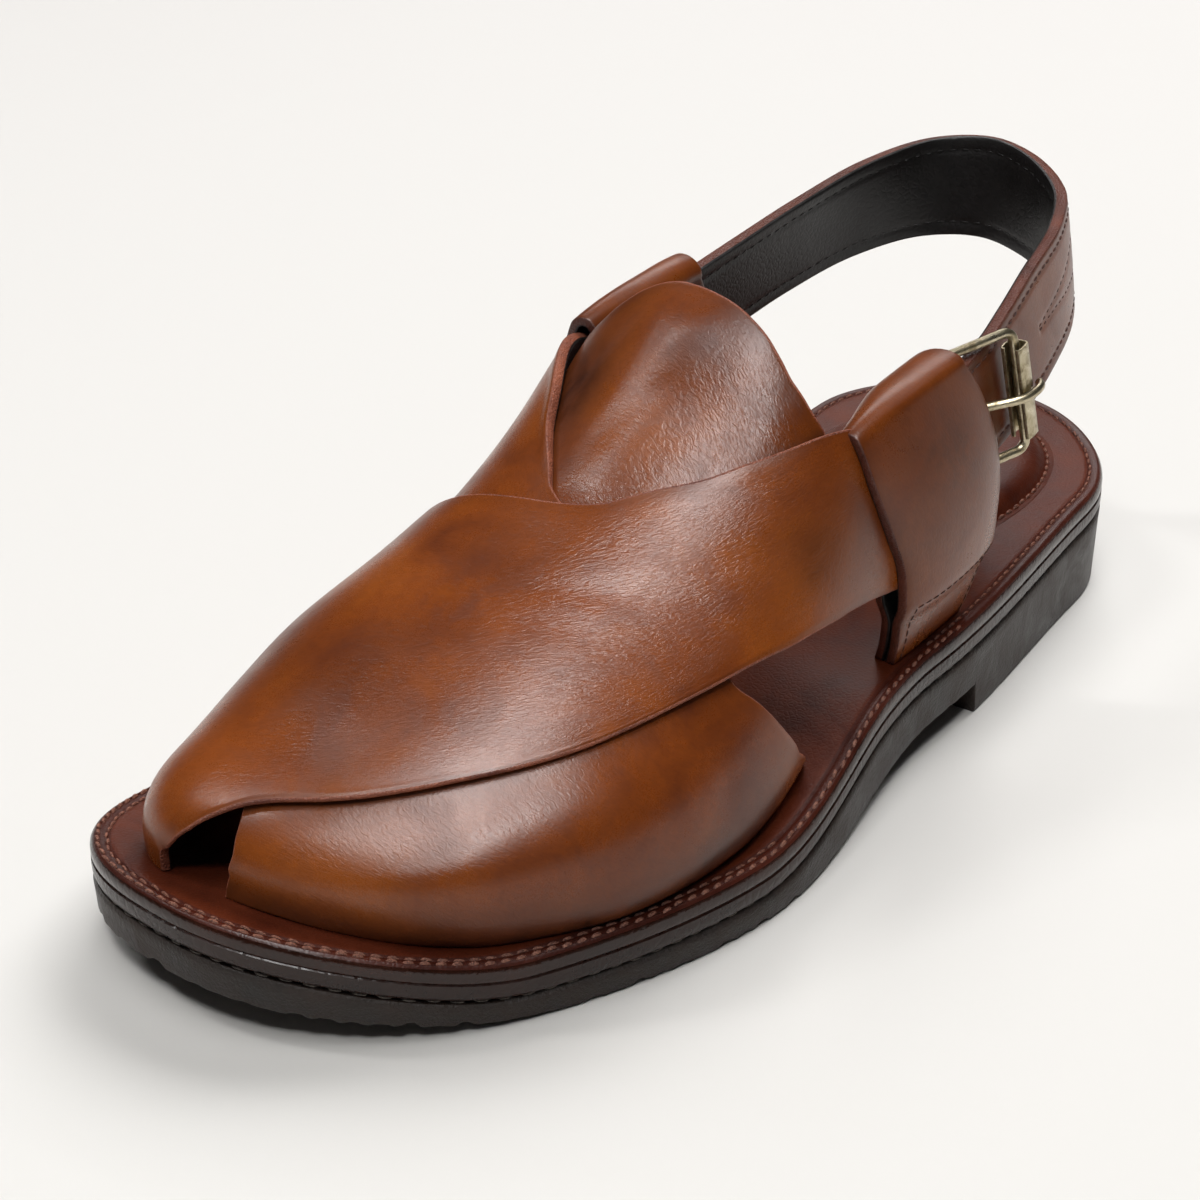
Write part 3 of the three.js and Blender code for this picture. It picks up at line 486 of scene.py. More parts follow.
# Mesh object from millimetre points, with a finish by number for each face and marks for each point
def make(name, points, faces, finishes, slot_name, nodes=(), finish_of=0, numbers=None, uv=None):
    points = np.asarray(points, float) * MM
    points[:, 1] -= CENTRE_Y * MM
    mesh = bpy.data.meshes.new(name)
    mesh.from_pydata(points.tolist(), [], [list(map(int, f)) for f in faces])
    for finish in finishes:
        mesh.materials.append(finish)
    mesh.polygons.foreach_set("material_index", np.broadcast_to(finish_of, len(faces)).astype(np.int32))
    mesh.polygons.foreach_set("use_smooth", np.ones(len(faces), bool))
    for key, values in (numbers or {}).items():
        layer = mesh.attributes.new(key, "FLOAT", "POINT")
        layer.data.foreach_set("value", np.asarray(values, np.float32))
    if uv is not None:
        corner = np.empty(len(mesh.loops), np.int32)
        mesh.loops.foreach_get("vertex_index", corner)
        layer = mesh.uv_layers.new(name="UVMap")
        layer.data.foreach_set("uv", np.asarray(uv, np.float32)[corner].ravel())
    mesh.update()
    mesh.set_sharp_from_angle(angle=SHARP)
    thing = bpy.data.objects.new(name, mesh)
    bpy.context.scene.collection.objects.link(thing)
    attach(thing, "root")
    if nodes:
        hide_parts(*nodes)
    return thing


# Four-cornered faces of a grid of point numbers
def grid_faces(ids):
    return np.stack([ids[:-1, :-1], ids[:-1, 1:], ids[1:, 1:], ids[1:, :-1]], -1).reshape(-1, 4)


# Faces between rings of equal size, one after the other, and back to the first one where they close
def ring_faces(rings, size, closed=False):
    ids = np.arange(size)
    following = np.roll(ids, -1)
    faces = []
    for r in range(rings if closed else rings - 1):
        low = r * size
        high = (r + 1) % rings * size
        faces.append(np.stack([low + ids, low + following, high + following, high + ids], 1))
    return np.concatenate(faces)


# Rings of points round a path, in the planes of two directions
def rings_round(path, one, two, radius, sides):
    turn = 2 * math.pi * np.arange(sides) / sides
    ray = one[:, None] * np.cos(turn)[None, :, None] + two[:, None] * np.sin(turn)[None, :, None]
    return (path[:, None] + ray * radius[:, None, None]).reshape(-1, 3)


# Path that ends where it starts
def closed_path(points):
    return np.concatenate([points, points[:1]])


# Thick leather over a grid: outer face, lining and a rounded cut edge
RIM_STEPS, RIM_SQUARE = 6, 0.8


def sheet(outer, inner, bulge):
    rows, columns = outer.shape[:2]
    count = rows * columns
    ids = np.arange(count).reshape(rows, columns)
    quads = grid_faces(ids)
    middle_row, middle_column = rows // 2, columns // 2
    p = outer[middle_row, middle_column]
    face = np.cross(outer[middle_row, middle_column + 1] - p, outer[middle_row + 1, middle_column] - p)
    turned = np.dot(face, p - inner[middle_row, middle_column]) < 0
    front = quads[:, ::-1] if turned else quads
    back = (quads if turned else quads[:, ::-1]) + count
    loop = np.concatenate([ids[0, :], ids[1:, -1], ids[-1, -2::-1], ids[-2:0:-1, 0]])
    flat_out = outer.reshape(-1, 3)
    flat_in = inner.reshape(-1, 3)
    middle = (outer + inner) / 2
    away = np.zeros_like(outer)
    for end, before in ((0, 1), (-1, -2)):
        away[end] += unit(middle[end] - middle[before])
        away[:, end] += unit(middle[:, end] - middle[:, before])
    away = unit(away.reshape(-1, 3)[loop])
    heart = middle.reshape(-1, 3)[loop]
    along = unit(np.roll(heart, -1, 0) - np.roll(heart, 1, 0))
    away = unit(away - along * (away * along).sum(1, keepdims=True))
    width = np.broadcast_to(np.asarray(bulge, float), (rows, columns)).reshape(-1)[loop][:, None]
    arm = (flat_out[loop] - flat_in[loop]) / 2
    points = [flat_out, flat_in]
    rims = [loop]
    size = 2 * count
    for k in range(1, RIM_STEPS):
        turn = math.pi * k / RIM_STEPS
        lean = math.copysign(abs(math.cos(turn)) ** RIM_SQUARE, math.cos(turn))
        points.append(heart + arm * lean + away * width * math.sin(turn) ** RIM_SQUARE)
        rims.append(np.arange(len(loop)) + size)
        size += len(loop)
    rims.append(loop + count)
    faces = [front, back]
    for one, two in zip(rims[:-1], rims[1:]):
        strip = np.stack([one, two, np.roll(two, -1), np.roll(one, -1)], 1)
        faces.append(strip[:, ::-1] if turned else strip)
    finish_of = np.repeat([0, 1] + [2] * (RIM_STEPS - 2) + [1] * 2, [len(f) for f in faces])
    return np.concatenate(points), np.concatenate(faces), finish_of, loop


# Lengths along a grid, from its middle row and its first column, and the distance to its nearest edge
def grid_lengths(outer):
    down = length_of(np.diff(outer, axis=0))
    over = length_of(np.diff(outer, axis=1))
    u = np.concatenate([np.zeros((1, outer.shape[1])), np.cumsum(down, 0)])
    v = np.concatenate([np.zeros((outer.shape[0], 1)), np.cumsum(over, 1)], 1)
    edge = np.minimum(np.minimum(u, u[-1] - u), np.minimum(v, v[:, -1:] - v))
    middle = u[outer.shape[0] // 2]
    return u - middle, v, edge


# Values over a grid repeated for lining and rim points
def spread(values, shape, loop):
    flat = np.broadcast_to(values, shape).reshape(-1)
    return np.concatenate([flat, flat] + [flat[loop]] * (RIM_STEPS - 1))


# Leather sheet as a finished piece, with its cut edge's finish and the two ways that the grain runs
def leather_piece(name, outer, inner, bulge, cut, node, burnish_and_shade, crease, painted_sheen=0.0, grain=(0, 1)):
    points, faces, finish_of, loop = sheet(outer, inner, bulge)
    lengths = grid_lengths(outer)
    shape = outer.shape[:2]
    uv = np.stack([spread(lengths[k], shape, loop) for k in grain], 1) * MM
    marks = {"burnish_and_shade": burnish_and_shade, "crease": crease, "painted_sheen": painted_sheen}
    numbers = {key: spread(value, shape, loop) for key, value in marks.items()}
    make(name, points, faces, [TAN, LINING, cut], "upper_leather", [node], finish_of, numbers, uv)


# Burnish with painted shade, or painted sheen, as a sum of soft balls: x, y, z, radius, strength
def spots(grid, rows):
    total = np.zeros(grid.shape[:2])
    for x, y, z, radius, strength in rows:
        d = length_of(grid - np.array([x, y, z]))
        total += strength * bell(d, radius)
    return total


# Stitches along a path: short bowed threads with sunk ends
THREAD_SIDES = 6
THREAD_BEAT = np.array([0.0, 0.12, 0.35, 0.65, 0.88, 1.0])
THREAD_WIDE = np.array([0.25, 0.8, 1.0, 1.0, 0.8, 0.25])
THREAD_RISE = np.array([-0.9, -0.1, 0.25, 0.25, -0.1, -0.9])


def stitches(name, path, normal, finish, slot_name, pitch, length, radius, slant, wander):
    step = length_of(np.diff(path, axis=0))
    arc = np.concatenate([[0], np.cumsum(step)])
    count = max(int(arc[-1] / pitch), 1)
    starts = (np.arange(count) + 0.5) * arc[-1] / count - length / 2
    at = lambda values, s: np.stack([np.interp(s, arc, values[:, k]) for k in range(3)], -1)
    points = []
    for start in starts:
        s = start + THREAD_BEAT * length
        middle = at(path, s)
        up = unit(at(normal, s))
        along = unit(np.gradient(middle, axis=0))
        side = unit(np.cross(along, up))
        sway = np.linspace(-1, 1, len(s))[:, None] * slant + rng.normal(0, wander)
        middle = middle + up * (THREAD_RISE * radius)[:, None] + side * sway
        points.append(rings_round(middle, side, up, THREAD_WIDE * radius, THREAD_SIDES))
    one = ring_faces(len(THREAD_BEAT), THREAD_SIDES)
    faces = np.concatenate([one + k * len(points[0]) for k in range(count)])
    make(name, np.concatenate(points), faces, [finish], slot_name)


# Points and faces of a sole layer from its rings
def sole_body(rings):
    return np.concatenate(rings), np.roll(ring_faces(len(rings), len(LOOP))[:, ::-1], 1, axis=1)


# Rings from an edge ring to the middle line, at a height over place and station
def towards_middle(ring, shares, height):
    n = len(ring)
    mate = (n - np.arange(n)) % n
    middle = (ring + ring[mate]) / 2
    made = []
    for t in shares:
        q = lerp(ring, middle, t)
        q[:, 2] = height(q)
        made.append(q)
    return made


STATION_OF = LOOP[:, 0]
UP = np.tile([0.0, 0.0, 1.0], (len(LOOP), 1))
# Shares of the way from the edge of a sole layer to its middle line
SHARES = (0.08, 0.16, 0.26, 0.38, 0.5, 0.62, 0.74, 0.86, 1.0)
# Insole: stitch rows as insets with their ends along x, troughs, and the dark band's inner edge
WELT_ROW, WELT_ROW_OUT, BAND_TO = 3.6, 1.9, 4.5
WELT_ROW_FROM, INNER_ROW_FROM, SEAT_ROW_TO = -35.0, 45.0, -24.0
TROUGH, WELT_TROUGH, TROUGH_FROM, TROUGH_TO = 0.45, 0.3, 1.6, 2.5
THREAD_SEAT, TROUGH_FADE = 0.18, (12, 4)
# Edge profiles: inset from the outline, depth under the insole's top
INSOLE_EDGE = ((8.0, INSOLE_THICK), (0.5, INSOLE_THICK), (0.25, 3.3), (0.25, 2.0), (0.4, 1.3), (0.75, 0.7))
INSOLE_FACE = (
    (1.05, 0.32), (1.3, 0.1), (1.5, 0.05), (1.65, 0.14), (WELT_ROW_OUT, WELT_TROUGH), (2.3, 0.14),
    (3.0, 0.1), (WELT_ROW, TROUGH), (4.3, 0.1), (5.2, 0.0), (7.5, 0.0), (10.0, 0.0),
)
MIDSOLE_TOP = INSOLE_THICK + GAP
MIDSOLE_LOW = MIDSOLE_TOP + MIDSOLE_THICK
MIDSOLE_EDGE = (
    (8.0, MIDSOLE_TOP - 0.25), (0.45, MIDSOLE_TOP - 0.25), (0.2, MIDSOLE_TOP), (0.12, MIDSOLE_TOP + 1.2),
    (0.15, MIDSOLE_LOW - 1.3), (0.4, MIDSOLE_LOW - 0.5), (1.2, MIDSOLE_LOW), (8.0, MIDSOLE_LOW),
)
SEAM_INSET, SEAM_DROP = 1.0, 0.1
OUTSOLE_TOP = MIDSOLE_LOW + GAP
OUTSOLE_EDGE = ((8.0, OUTSOLE_TOP), (1.5, OUTSOLE_TOP), (0.6, OUTSOLE_TOP + 0.35))
# Tread edge: inset, height over the ground, share of the teeth
TREAD_EDGE = (
    (0.3, 1.2, 1.0), (0.45, 0.35, 1.0), (0.9, 0.0, 1.0), (4.5, 0.0, 0.8), (5.6, 0.0, 0.0), (7.0, 0.0, 0.0),
)
# Lip over the tread edge: two insets with their drops, and their least heights over the ground
LIP, LIP_LOW, LIP_FLOOR, LIP_LOW_FLOOR = (0.1, 1.2), (0.2, 3.2), 2.6, 2.2
# Teeth: height at heel and forefoot, rise and fall along one tooth, run from heel to forefoot height
TOOTH_PITCH, TOOTH_POWER, TOOTH_HEEL, TOOTH_FORE = 5.2, 1.5, 0.35, 1.1
TOOTH_RISE, TOOTH_FALL, TOOTH_RUN = (0.0, 0.16), (0.55, 0.75), 20
# Ribs: pitch, depth, slope of a groove, distance from the breast, the tread's start and the toe
RIB_PITCH, RIB_DEPTH, RIB_SLOPE, RIB_BREAST, RIB_START, RIB_TOE = 7.0, 1.3, (0.30, 0.40), 6, 4, 12


# Trough that is cut along the forefoot alone
def fore_trough(depth):
    before, after = TROUGH_FADE
    return lambda x: insole_top(x) - depth * smooth(x, WELT_ROW_FROM - before, WELT_ROW_FROM + after)


# Insole: inked rounded edge, dark band with stitched troughs, plain bed
def build_insole():
    rings = [sole_ring(inset, under(depth)) for inset, depth in INSOLE_EDGE]
    finish_of = [1] * (len(rings) - 1)
    for inset, depth in INSOLE_FACE:
        fore = TROUGH_FROM < inset < TROUGH_TO
        rings.append(sole_ring(inset, fore_trough(depth) if fore else under(depth)))
        finish_of.append(2 if inset < BAND_TO else 0)
    rings += towards_middle(rings[-1], SHARES, lambda q: insole_top(q[:, 0]))
    finish_of += [0] * len(SHARES)
    finishes, finish_of = [INSOLE, INK, BAND], np.repeat(finish_of, len(LOOP))
    make("insole_look", *sole_body(rings), finishes, "insole_leather", ["insole"], finish_of)
    row = sole_ring(WELT_ROW, under(TROUGH - THREAD_SEAT))
    fore = np.flatnonzero(row[:, 0] > INNER_ROW_FROM)
    ahead = np.flatnonzero(row[:, 0] > SEAT_ROW_TO)
    heel = np.concatenate([np.arange(ahead[-1], len(row)), np.arange(ahead[0] + 1)])
    stitches("insole_stitches", row[fore], UP[fore], THREAD, "insole_leather", *INSOLE_STITCH)
    stitches("seat_stitches", row[heel], UP[heel], THREAD, "insole_leather", *SEAT_STITCH)
    row = sole_ring(WELT_ROW_OUT, under(WELT_TROUGH - THREAD_SEAT))
    fore = np.flatnonzero(row[:, 0] > WELT_ROW_FROM)
    stitches("welt_stitches", row[fore], UP[fore], THREAD, "insole_leather", *WELT_STITCH)


# Midsole: dark built-up edge with a soft waist, and the seam below it
def build_midsole():
    rings = [sole_ring(inset, under(depth)) for inset, depth in MIDSOLE_EDGE]
    make("midsole_look", *sole_body(rings), [BOARD], "midsole_leather", ["midsole"])
    seam = closed_path(sole_ring(SEAM_INSET, under(MIDSOLE_LOW + SEAM_DROP)))
    out = closed_path(np.column_stack([LOOP_OUT, np.zeros(len(LOOP))]))
    stitches("sole_seam_stitches", seam, out, PALE_THREAD, "midsole_leather", *SEAM_STITCH)


# Ragged teeth along the lower edge: one height per tooth
def teeth():
    turn = LOOP_ARC / TOOTH_PITCH
    tooth = np.floor(turn).astype(int)
    heights = rng.uniform(0.0, 1.0, tooth.max() + 2) ** TOOTH_POWER
    share = turn - tooth
    edge = smooth(share, *TOOTH_RISE) * (1 - smooth(share, *TOOTH_FALL))
    fore = smooth(STATION_OF, TREAD_START - TOOTH_RUN, TREAD_START)
    return heights[tooth] * edge * lerp(TOOTH_HEEL, TOOTH_FORE, fore)


# Outsole: soft lip, ragged tread edge, ribs under forefoot and heel
def build_outsole():
    ground = sole_bottom(STATION_OF)
    bite = teeth()
    lip = lambda drop: np.maximum(insole_top(STATION_OF) - OUTSOLE_TOP - drop, ground + LIP_FLOOR)
    rings = [sole_ring(inset, under(depth)) for inset, depth in OUTSOLE_EDGE]
    rings.append(sole_ring(LIP[0], lip(LIP[1])))
    rings.append(sole_ring(LIP_LOW[0], np.maximum(lip(LIP_LOW[1]), ground + LIP_LOW_FLOOR + bite / 2)))
    rings += [sole_ring(inset, ground + height + bite * share) for inset, height, share in TREAD_EDGE]
    fore = (STATION_OF > TREAD_START - RIB_START) & (STATION_OF < HALF - RIB_TOE)
    ribbed = np.where((STATION_OF < BREAST_X - RIB_BREAST) | fore, 1.0, 0.0)

    def ribs(q):
        groove = smooth(np.abs(((q[:, 0] / RIB_PITCH) % 1.0) - 0.5), *RIB_SLOPE)
        return ground + RIB_DEPTH * groove * ribbed

    rings += towards_middle(rings[-1], (0.02,) + SHARES, ribs)
    points, faces = sole_body(rings)
    make("outsole_look", points, faces[:, ::-1], [RUBBER], "outsole_rubber", ["outsole"])


# Heel pad: a filled oval with a rounded shoulder, puckered along its seam
def build_pad():
    turn = 2 * math.pi * np.arange(PAD_SIDES) / PAD_SIDES
    c = np.cos(turn)
    s = np.sin(turn)
    x = np.sign(c) * np.abs(c) ** (2 / PAD_POWER)
    y = np.sign(s) * np.abs(s) ** (2 / PAD_POWER)
    pucker = 0.5 + 0.5 * np.cos(turn * PAD_PUCKERS)
    rings = []
    for scale, rise, pull in PAD_PROFILE:
        px = PAD_X + PAD_LONG * scale * x
        z = insole_top(px) + GAP + rise - pull * pucker - HEM_DROP * (scale > 1)
        rings.append(np.column_stack([px, PAD_Y + PAD_WIDE * scale * y, z]))
    faces = ring_faces(len(rings), PAD_SIDES)
    pad = make("heel_pad_look", np.concatenate(rings), faces, [INSOLE], "insole_leather", ["heel_pad"])
    row = closed_path(rings[PAD_SEAM] + np.array([0, 0, PAD_THREAD]))
    stitches("heel_pad_stitches", row, UP[:len(row)], THREAD, "insole_leather", *PAD_STITCH)


# Grid over a wing, with its columns closer together towards the front edge
WING_ROWS, WING_COLUMNS, WING_CROWD = 190, 110, 1.6


def wing_grid(table):
    angle = np.linspace(table[0, 0], table[-1, 0], WING_ROWS)
    rear = curve(table, 1)(angle)
    front = curve(table, 2)(angle)
    v = 1 - (1 - np.linspace(0, 1, WING_COLUMNS)) ** WING_CROWD
    x = rear[:, None] + (front - rear)[:, None] * v[None, :]
    return x, np.broadcast_to(angle[:, None], x.shape)


# Soft troughs over x and angle: start x, start angle, end x, end angle, bow, width, depth
DEGREE_MM = 0.85


def troughs(x, angle, rows):
    total = np.zeros(x.shape)
    for x0, a0, x1, a1, bow, width, depth in rows:
        run = np.array([x1 - x0, (a1 - a0) * DEGREE_MM])
        size = math.hypot(*run)
        along = ((x - x0) * run[0] + (angle - a0) * DEGREE_MM * run[1]) / size**2
        off = (-(x - x0) * run[1] + (angle - a0) * DEGREE_MM * run[0]) / size
        off = off - bow * 4 * np.clip(along, 0, 1) * (1 - np.clip(along, 0, 1))
        fade = smooth(along, -0.15, 0.25) * (1 - smooth(along, 0.75, 1.15))
        total -= depth * fade * bell(off, width)
    return total


# Creases as rows for the troughs; burnish mixed with painted shade, and painted sheen, as rows for the spots
OVER_CREASES = (
    (60, 20, 44, 46, 2.0, 3.0, 0.22), (70, 8, 52, 34, 2.5, 3.5, 0.20), (82, 4, 64, 30, 2.0, 3.2, 0.16),
    (50, -10, 56, 12, 1.5, 2.5, 0.16), (40, 36, 22, 60, 1.5, 3.0, 0.20),
)
UNDER_CREASES = (
    (62, 62, 60, 84, 1.5, 3.0, 0.22), (74, 60, 76, 84, 1.5, 3.0, 0.16), (88, 64, 92, 86, 2.0, 3.5, 0.14),
)
TONGUE_CREASES = (
    (30, -20, 8, -6, 1.5, 2.5, 0.2), (34, 0, 14, 8, 1.5, 2.8, 0.25),
    (32, 18, 14, 30, -1.0, 2.5, 0.2), (12, 26, 4, 38, 0.8, 2.0, 0.15),
)
OVER_SPOTS = (
    (22, 46, 65, 8, 0.42), (13, 45, 70, 12, 0.2), (4, 47, 68, 9, 0.3), (8, 50, 55, 9, 0.2),
    (18, 50, 59, 9, 0.12), (38, 45, 61, 10, 0.15), (100, -6, 53, 8, 0.22), (89, -8, 58, 8, 0.18),
    (106, -13, 50, 7, 0.26), (113, 2, 46, 6, 0.3), (122, -27, 41, 12, 0.25), (98, -30, 50, 14, 0.25),
    (66, -2, 67, 9, 0.14), (60, -36, 45, 18, 0.35), (80, -40, 36, 22, 0.4),
)
OVER_PAINTED_SHEEN = ((52, 4, 72, 15, 0.55), (84, -8, 59, 12, 0.3), (112, -14, 48, 12, 0.4), (124, -20, 42, 9, 0.6))
UNDER_SPOTS = (
    (52, 55, 39, 10, 0.12), (118, 13, 39, 7, 0.2), (117, 27, 27, 9, 0.2), (131, 4, 27, 7, 0.1),
    (10, -36, 62, 16, 0.35),
)
TONGUE_SPOTS = (
    (1, 14, 100, 9, 0.4), (6, 28, 90, 6, 0.35), (9, 5, 95, 7, 0.3), (16, -19, 86, 9, 0.5),
    (27, -17, 80, 8, 0.4), (36, -7, 74, 8, 0.25),
)
LATERAL_SPOTS = ((-20, 50, 80, 16, 0.35), (-8, 50, 60, 10, 0.35), (-30, 50, 70, 14, 0.3))
MEDIAL_SPOTS = ((-20, -40, 80, 16, 0.3), (-30, -40, 50, 14, 0.3))
# Centre and reach of the most creased leather, bulge of each cut edge, darkness along it
WORN_AT, WORN_REACH = np.array([45, 36, 64]), 42
OVER_BULGE, UNDER_BULGE, TONGUE_BULGE, SLEEVE_BULGE, STRAP_BULGE = 0.5, 0.4, 0.7, 0.35, 0.6
EDGE_BURN, EDGE_BURN_WIDE = 0.25, 2.5
SKIVE, SKIVE_WIDE, ROLL_WIDE, LAP_GAP = 0.8, 1.6, 2.6, 0.1
# Full shoulder of the lower wing: rise, angle, spread over angle
SHOULDER, SHOULDER_ANGLE, SHOULDER_SPREAD = 2.2, 70, 19
over_rear = curve(WING_OVER, 1)
over_front = curve(WING_OVER, 2)


# Upper wing: lifted over the lower one, thinned along its edge
def build_wing_over():
    x, angle = wing_grid(WING_OVER)
    lift = (LEATHER + LAP_GAP) * np.maximum(smooth(angle, LIFT_FROM, LIFT_TO), smooth(x, 112, 127))
    _, v, edge = grid_lengths(off_last(x, angle, np.zeros(x.shape)))
    lip = 0.15 * bell(v[:, -1:] - v, ROLL_WIDE) * smooth(angle, 18, 30)
    form = troughs(x, angle, OVER_CREASES) + lip
    skive = SKIVE * bell(edge, SKIVE_WIDE) * smooth(angle, -70, -40)
    outer = off_last(x, angle, lift + LEATHER + form - 0.2 * skive)
    inner = off_last(x, angle, lift + form + skive)
    # Burnish spots, some of them painted shade where the wing runs into the sleeve and low on its medial
    # side, plus darker cut edges
    burnish_and_shade = spots(outer, OVER_SPOTS) + EDGE_BURN * bell(edge, EDGE_BURN_WIDE)
    worn = bell(length_of(outer - WORN_AT), WORN_REACH)
    crease = lerp(0.4, 1.0, smooth(edge, 2, 12)) * lerp(0.25, 0.9, worn)
    # Painted sheen on the upper wing near the tongue and over the toe
    painted_sheen = spots(outer, OVER_PAINTED_SHEEN)
    leather_piece("wing_over_look", outer, inner, OVER_BULGE, EDGE, "upper", burnish_and_shade, crease, painted_sheen)


# Lower wing: rolled rear edge on the medial side, full shoulder, painted shade along its foot and a painted
# shadow under the upper wing
def build_wing_under():
    x, angle = wing_grid(WING_UNDER)
    _, v, edge = grid_lengths(off_last(x, angle, np.zeros(x.shape)))
    roll = bell(v, ROLL_WIDE) * smooth(angle, -66, -54) * (1 - smooth(angle, -14, 0))
    shoulder = SHOULDER * bell(angle - SHOULDER_ANGLE, SHOULDER_SPREAD)
    shoulder = shoulder * smooth(x, 44, 88) * (1 - smooth(x, 104, 132))
    form = troughs(x, angle, UNDER_CREASES) + 0.5 * roll + shoulder
    outer = off_last(x, angle, LEATHER + form)
    inner = off_last(x, angle, form - 0.6 * roll)
    # Painted shade along the foot, darker towards the sole
    low = smooth(angle, 76, 100) * smooth(x, 30, 50) * (1 - 0.6 * smooth(x, 108, 126))
    # Painted shadow under the upper wing's front edge
    wing_shadow = bell(x - over_front(angle) - 0.6, 1.6) * smooth(angle, 8, 16)
    burnish_and_shade = spots(outer, UNDER_SPOTS) + 0.2 * bell(edge, EDGE_BURN_WIDE) + 0.75 * low + 0.5 * wing_shadow
    crease = 0.28 * lerp(0.5, 1.0, smooth(edge, 2, 14))
    leather_piece("wing_under_look", outer, inner, UNDER_BULGE + 0.3 * roll, EDGE, "upper", burnish_and_shade, crease)


TONGUE_ROWS, TONGUE_COLUMNS, TONGUE_TAPER = 130, 90, 0.6
TONGUE_RIDGE, RIDGE_ANGLE, RIDGE_SPREAD = 0.9, 3, 8


# Tongue: a leaf under both wings, with a low ridge along it, a painted shadow under the upper wing's rear
# edge and painted shade on its medial side
def build_tongue():
    angle = np.linspace(TONGUE[0, 0], TONGUE[-1, 0], TONGUE_ROWS)[:, None] * np.ones((1, TONGUE_COLUMNS))
    v = np.linspace(0, 1, TONGUE_COLUMNS)[None, :] * np.ones((TONGUE_ROWS, 1))
    tip = curve(TONGUE, 1)(angle)
    x = lerp(tip, TONGUE_BASE, v)
    bend = angle * lerp(1.0, TONGUE_TAPER, smooth(v, 0.25, 1))
    drop = TONGUE_DROP * (angle / TONGUE_SPAN) ** 2
    ridge = TONGUE_RIDGE * bell(bend - RIDGE_ANGLE, RIDGE_SPREAD)
    ridge = ridge * smooth(v, 0.0, 0.15) * (1 - smooth(x, 30, 42))
    form = troughs(x, bend, TONGUE_CREASES) + ridge
    outer = off_last(x, bend, -GAP - drop + form)
    inner = off_last(x, bend, -GAP - drop - LEATHER + form)
    edge = grid_lengths(outer)[2]
    # Painted shadow under the upper wing's rear edge
    wing_shadow = bell(x - over_rear(bend) + 0.6, 1.8)
    burnish_and_shade = spots(outer, TONGUE_SPOTS) + 0.2 * bell(edge, 3.0)
    # Painted shade: the medial side of the tongue darker, as if turned from the light, plus the shadow under
    # the wing
    burnish_and_shade = burnish_and_shade + 0.5 * wing_shadow + 0.36 * smooth(-bend, -2, 14)
    crease = lerp(0.5, 1.0, smooth(edge, 2, 12)) * lerp(0.22, 0.75, smooth(bend, -6, 20))
    leather_piece("tongue_look", outer, inner, TONGUE_BULGE, EDGE, "tongue", burnish_and_shade, crease)


# Swelling of a sleeve over the strap inside it, by angle and share from rear to front
def swell(sleeve, angle, share):
    across = np.sin(np.pi * np.clip(share, 0, 1)) ** SWELL_POWER
    return sleeve["swell"] * bell(angle - SWELL_ANGLE, SWELL_SPREAD) * across


# Foot of a sleeve, moved in from the waist's edge onto the insole
def turned_in(sleeve, side, angle, points):
    inwards = sleeve["turn_in"] * smooth(angle, TURN_FROM, FEATHER)
    return points - side * inwards[:, None] * np.array([0.0, 1.0, 0.0])


# How far a sleeve's walls have closed, from 0 above to 1 at the foot
def shut_at(sleeve, angle):
    return smooth(angle, sleeve["shut"], sleeve["shut"] + SHUT_RUN)


# Distance of a sleeve's outer wall from the last
def outer_wall(sleeve, angle, share, thick):
    return lerp(sleeve["outer"], sleeve["foot"], shut_at(sleeve, angle)) + thick + swell(sleeve, angle, share)


quarter_rear = curve(QUARTER, 1)
quarter_front = curve(QUARTER, 2)


# Place along x on a sleeve, by angle and share from rear to front
def sleeve_x(sleeve, angle, share):
    front = quarter_front(angle) - sleeve["set_back"] * (1 - smooth(angle, *SET_BACK_FADE))
    return lerp(quarter_rear(angle) - sleeve["back"], front, share)


SLEEVE_COLUMNS, SLEEVE_STEPS, SLEEVE_BENDS = 70, 60, 14
# Stitch row of a sleeve: its angle, its first and last share with the steps between, steps down each leg
ROW_ANGLE, ROW_SHARES, LEG_STEPS = 91.0, (0.055, 0.93, 60), 14


